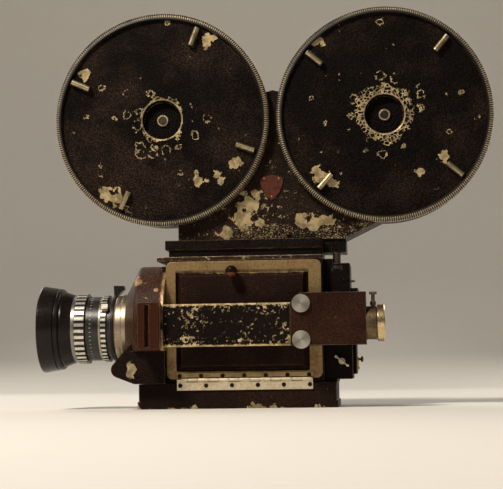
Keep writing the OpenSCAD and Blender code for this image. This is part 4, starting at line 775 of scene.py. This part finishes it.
def knurl_finish(side):
    finish, shader, where = start_finish(side + "_knurl")
    beside, above, away = round_drum(where, side)
    broad = where.noise(34, 4, 0.6)
    fine = where.noise(420, 4, 0.6)
    tooth = (above.sums("ARCTAN2", beside) * float(rim_teeth)).wave("COSINE").rise(0.05, 0.50)
    grip = (away - grip_from).rise(0.0, 0.0004)
    # Painted highlight: the rim is made brighter towards the lower right, mixed with patchy wear from the
    # noise.
    lower_right_sheen_and_wear = (beside - above) * 2.0 + (broad - 0.5) * 0.9 + (fine - 0.5) * 0.6
    worn = (tooth * grip * 0.85 + grip * 0.05 + lower_right_sheen_and_wear).rise(0.42, 0.90)
    metal = (fine * 0.6 + broad * 0.4).rise(0.35, 0.68).blend(rgb(0.72, 0.58, 0.38), rgb(0.22, 0.145, 0.075))
    put(worn.blend(rgb(0.006, 0.004, 0.003), metal), shader, "Base Color")
    put(worn * 0.6, shader, "Metallic")
    put(fine * 0.25 + 0.28, shader, "Roughness")
    put(where.relief(0.4, Height=fine * 0.0001), shader, "Normal")
    return finish


rim_crease = 0.9
lug_worn = plain_metal("lug_worn", (0.52, 0.43, 0.27), (0.10, 0.07, 0.045), rough=0.34, stain=0.8, edge=0.9)
for side in ("feed", "takeup"):
    dress(lid_finish(side), side + "_lid")
    dress(lug_worn, side + "_lid_lugs")
    knurl = knurl_finish(side)
    dress(knurl, side + "_lid_rim")
    rim = add_piece(side + "_knurled_rim", knurled_rim(side), knurl, side + "_cover",
                    rim_crease)
    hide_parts(side + "_lid_rim")


# Setting: a pale sweep under and behind the camera, a soft key lamp from the upper left front,
# a broad fill from the right, and a low strip and a soft lamp behind.
sweep_half = 8
sweep_profile = [(-8, 0), (1.2, 0), (1.7, 0.06), (2.1, 0.24), (2.35, 0.55), (2.45, 1.0), (2.45, 4)]
sweep = bmesh.new()
sweep_edge = [sweep.verts.new((-sweep_half, y, z)) for y, z in sweep_profile]
for a, b in zip(sweep_edge, sweep_edge[1:]):
    sweep.edges.new((a, b))
drawn = bmesh.ops.extrude_edge_only(sweep, edges=sweep.edges[:])
drawn_verts = [v for v in drawn["geom"] if isinstance(v, bmesh.types.BMVert)]
bmesh.ops.translate(sweep, verts=drawn_verts, vec=(2 * sweep_half, 0, 0))
floor_mesh = bpy.data.meshes.new("floor")
sweep.to_mesh(floor_mesh)
sweep.free()
floor_mesh.shade_smooth()
floor = bpy.data.objects.new("floor", floor_mesh)
bpy.context.scene.collection.objects.link(floor)
paper, paper_shader, paper_where = start_finish("pale_paper")
put(paper_where.noise(60, 4).blend(rgb(0.80, 0.77, 0.72), rgb(0.84, 0.81, 0.76)), paper_shader, "Base Color")
paper_shader.inputs["Roughness"].default_value = 0.9
floor_mesh.materials.append(paper)

lamp_aim = Vector((0.02, 0.0, 0.18))


def lamp(name, place, size, power, colour):
    light = bpy.data.lights.new(name, "AREA")
    light.energy = power
    light.size = size
    light.color = colour
    piece = bpy.data.objects.new(name, light)
    bpy.context.scene.collection.objects.link(piece)
    piece.location = place
    piece.rotation_euler = (lamp_aim - Vector(place)).to_track_quat("-Z", "Y").to_euler()


lamp("key", (-0.75, -1.15, 1.55), 0.32, 38, (1.0, 0.91, 0.78))
lamp("fill", (1.3, -1.3, 0.7), 1.1, 2, (1.0, 0.92, 0.82))
lamp("strip", (-0.9, 0.9, 0.9), 0.8, 9, (1.0, 0.95, 0.88))
lamp("back", (0.9, 1.0, 0.6), 0.8, 6, (1.0, 0.94, 0.86))
world = bpy.data.worlds.new("studio")
world.use_nodes = True
backdrop = world.node_tree.nodes["Background"]
backdrop.inputs["Color"].default_value = rgb(1.0, 0.97, 0.93)
backdrop.inputs["Strength"].default_value = 0.06
bpy.context.scene.world = world
bpy.context.scene.view_settings.view_transform = "Standard"

eye_place = Vector((0.1365, -1.4301, 0.0329))
eye_aim = Vector((0.01136, 0, 0.14587))
eye_turn = math.radians(5)
eye_roll = math.radians(0.8)
eye = bpy.data.cameras.new("photo_view")
eye.lens = 114.5
eye.sensor_width = 36
eye.clip_start = 0.01
camera = bpy.data.objects.new("photo_view", eye)
bpy.context.scene.collection.objects.link(camera)
forward = (eye_aim - eye_place).normalized()
level = Vector((math.cos(eye_turn), math.sin(eye_turn), 0))
level = (level - forward * level.dot(forward)).normalized()
upright = level.cross(forward)
right = math.cos(eye_roll) * level - math.sin(eye_roll) * upright
up = math.sin(eye_roll) * level + math.cos(eye_roll) * upright
camera.matrix_world = Matrix.Translation(eye_place) @ Matrix((right, up, -forward)).transposed().to_4x4()
bpy.context.scene.camera = camera
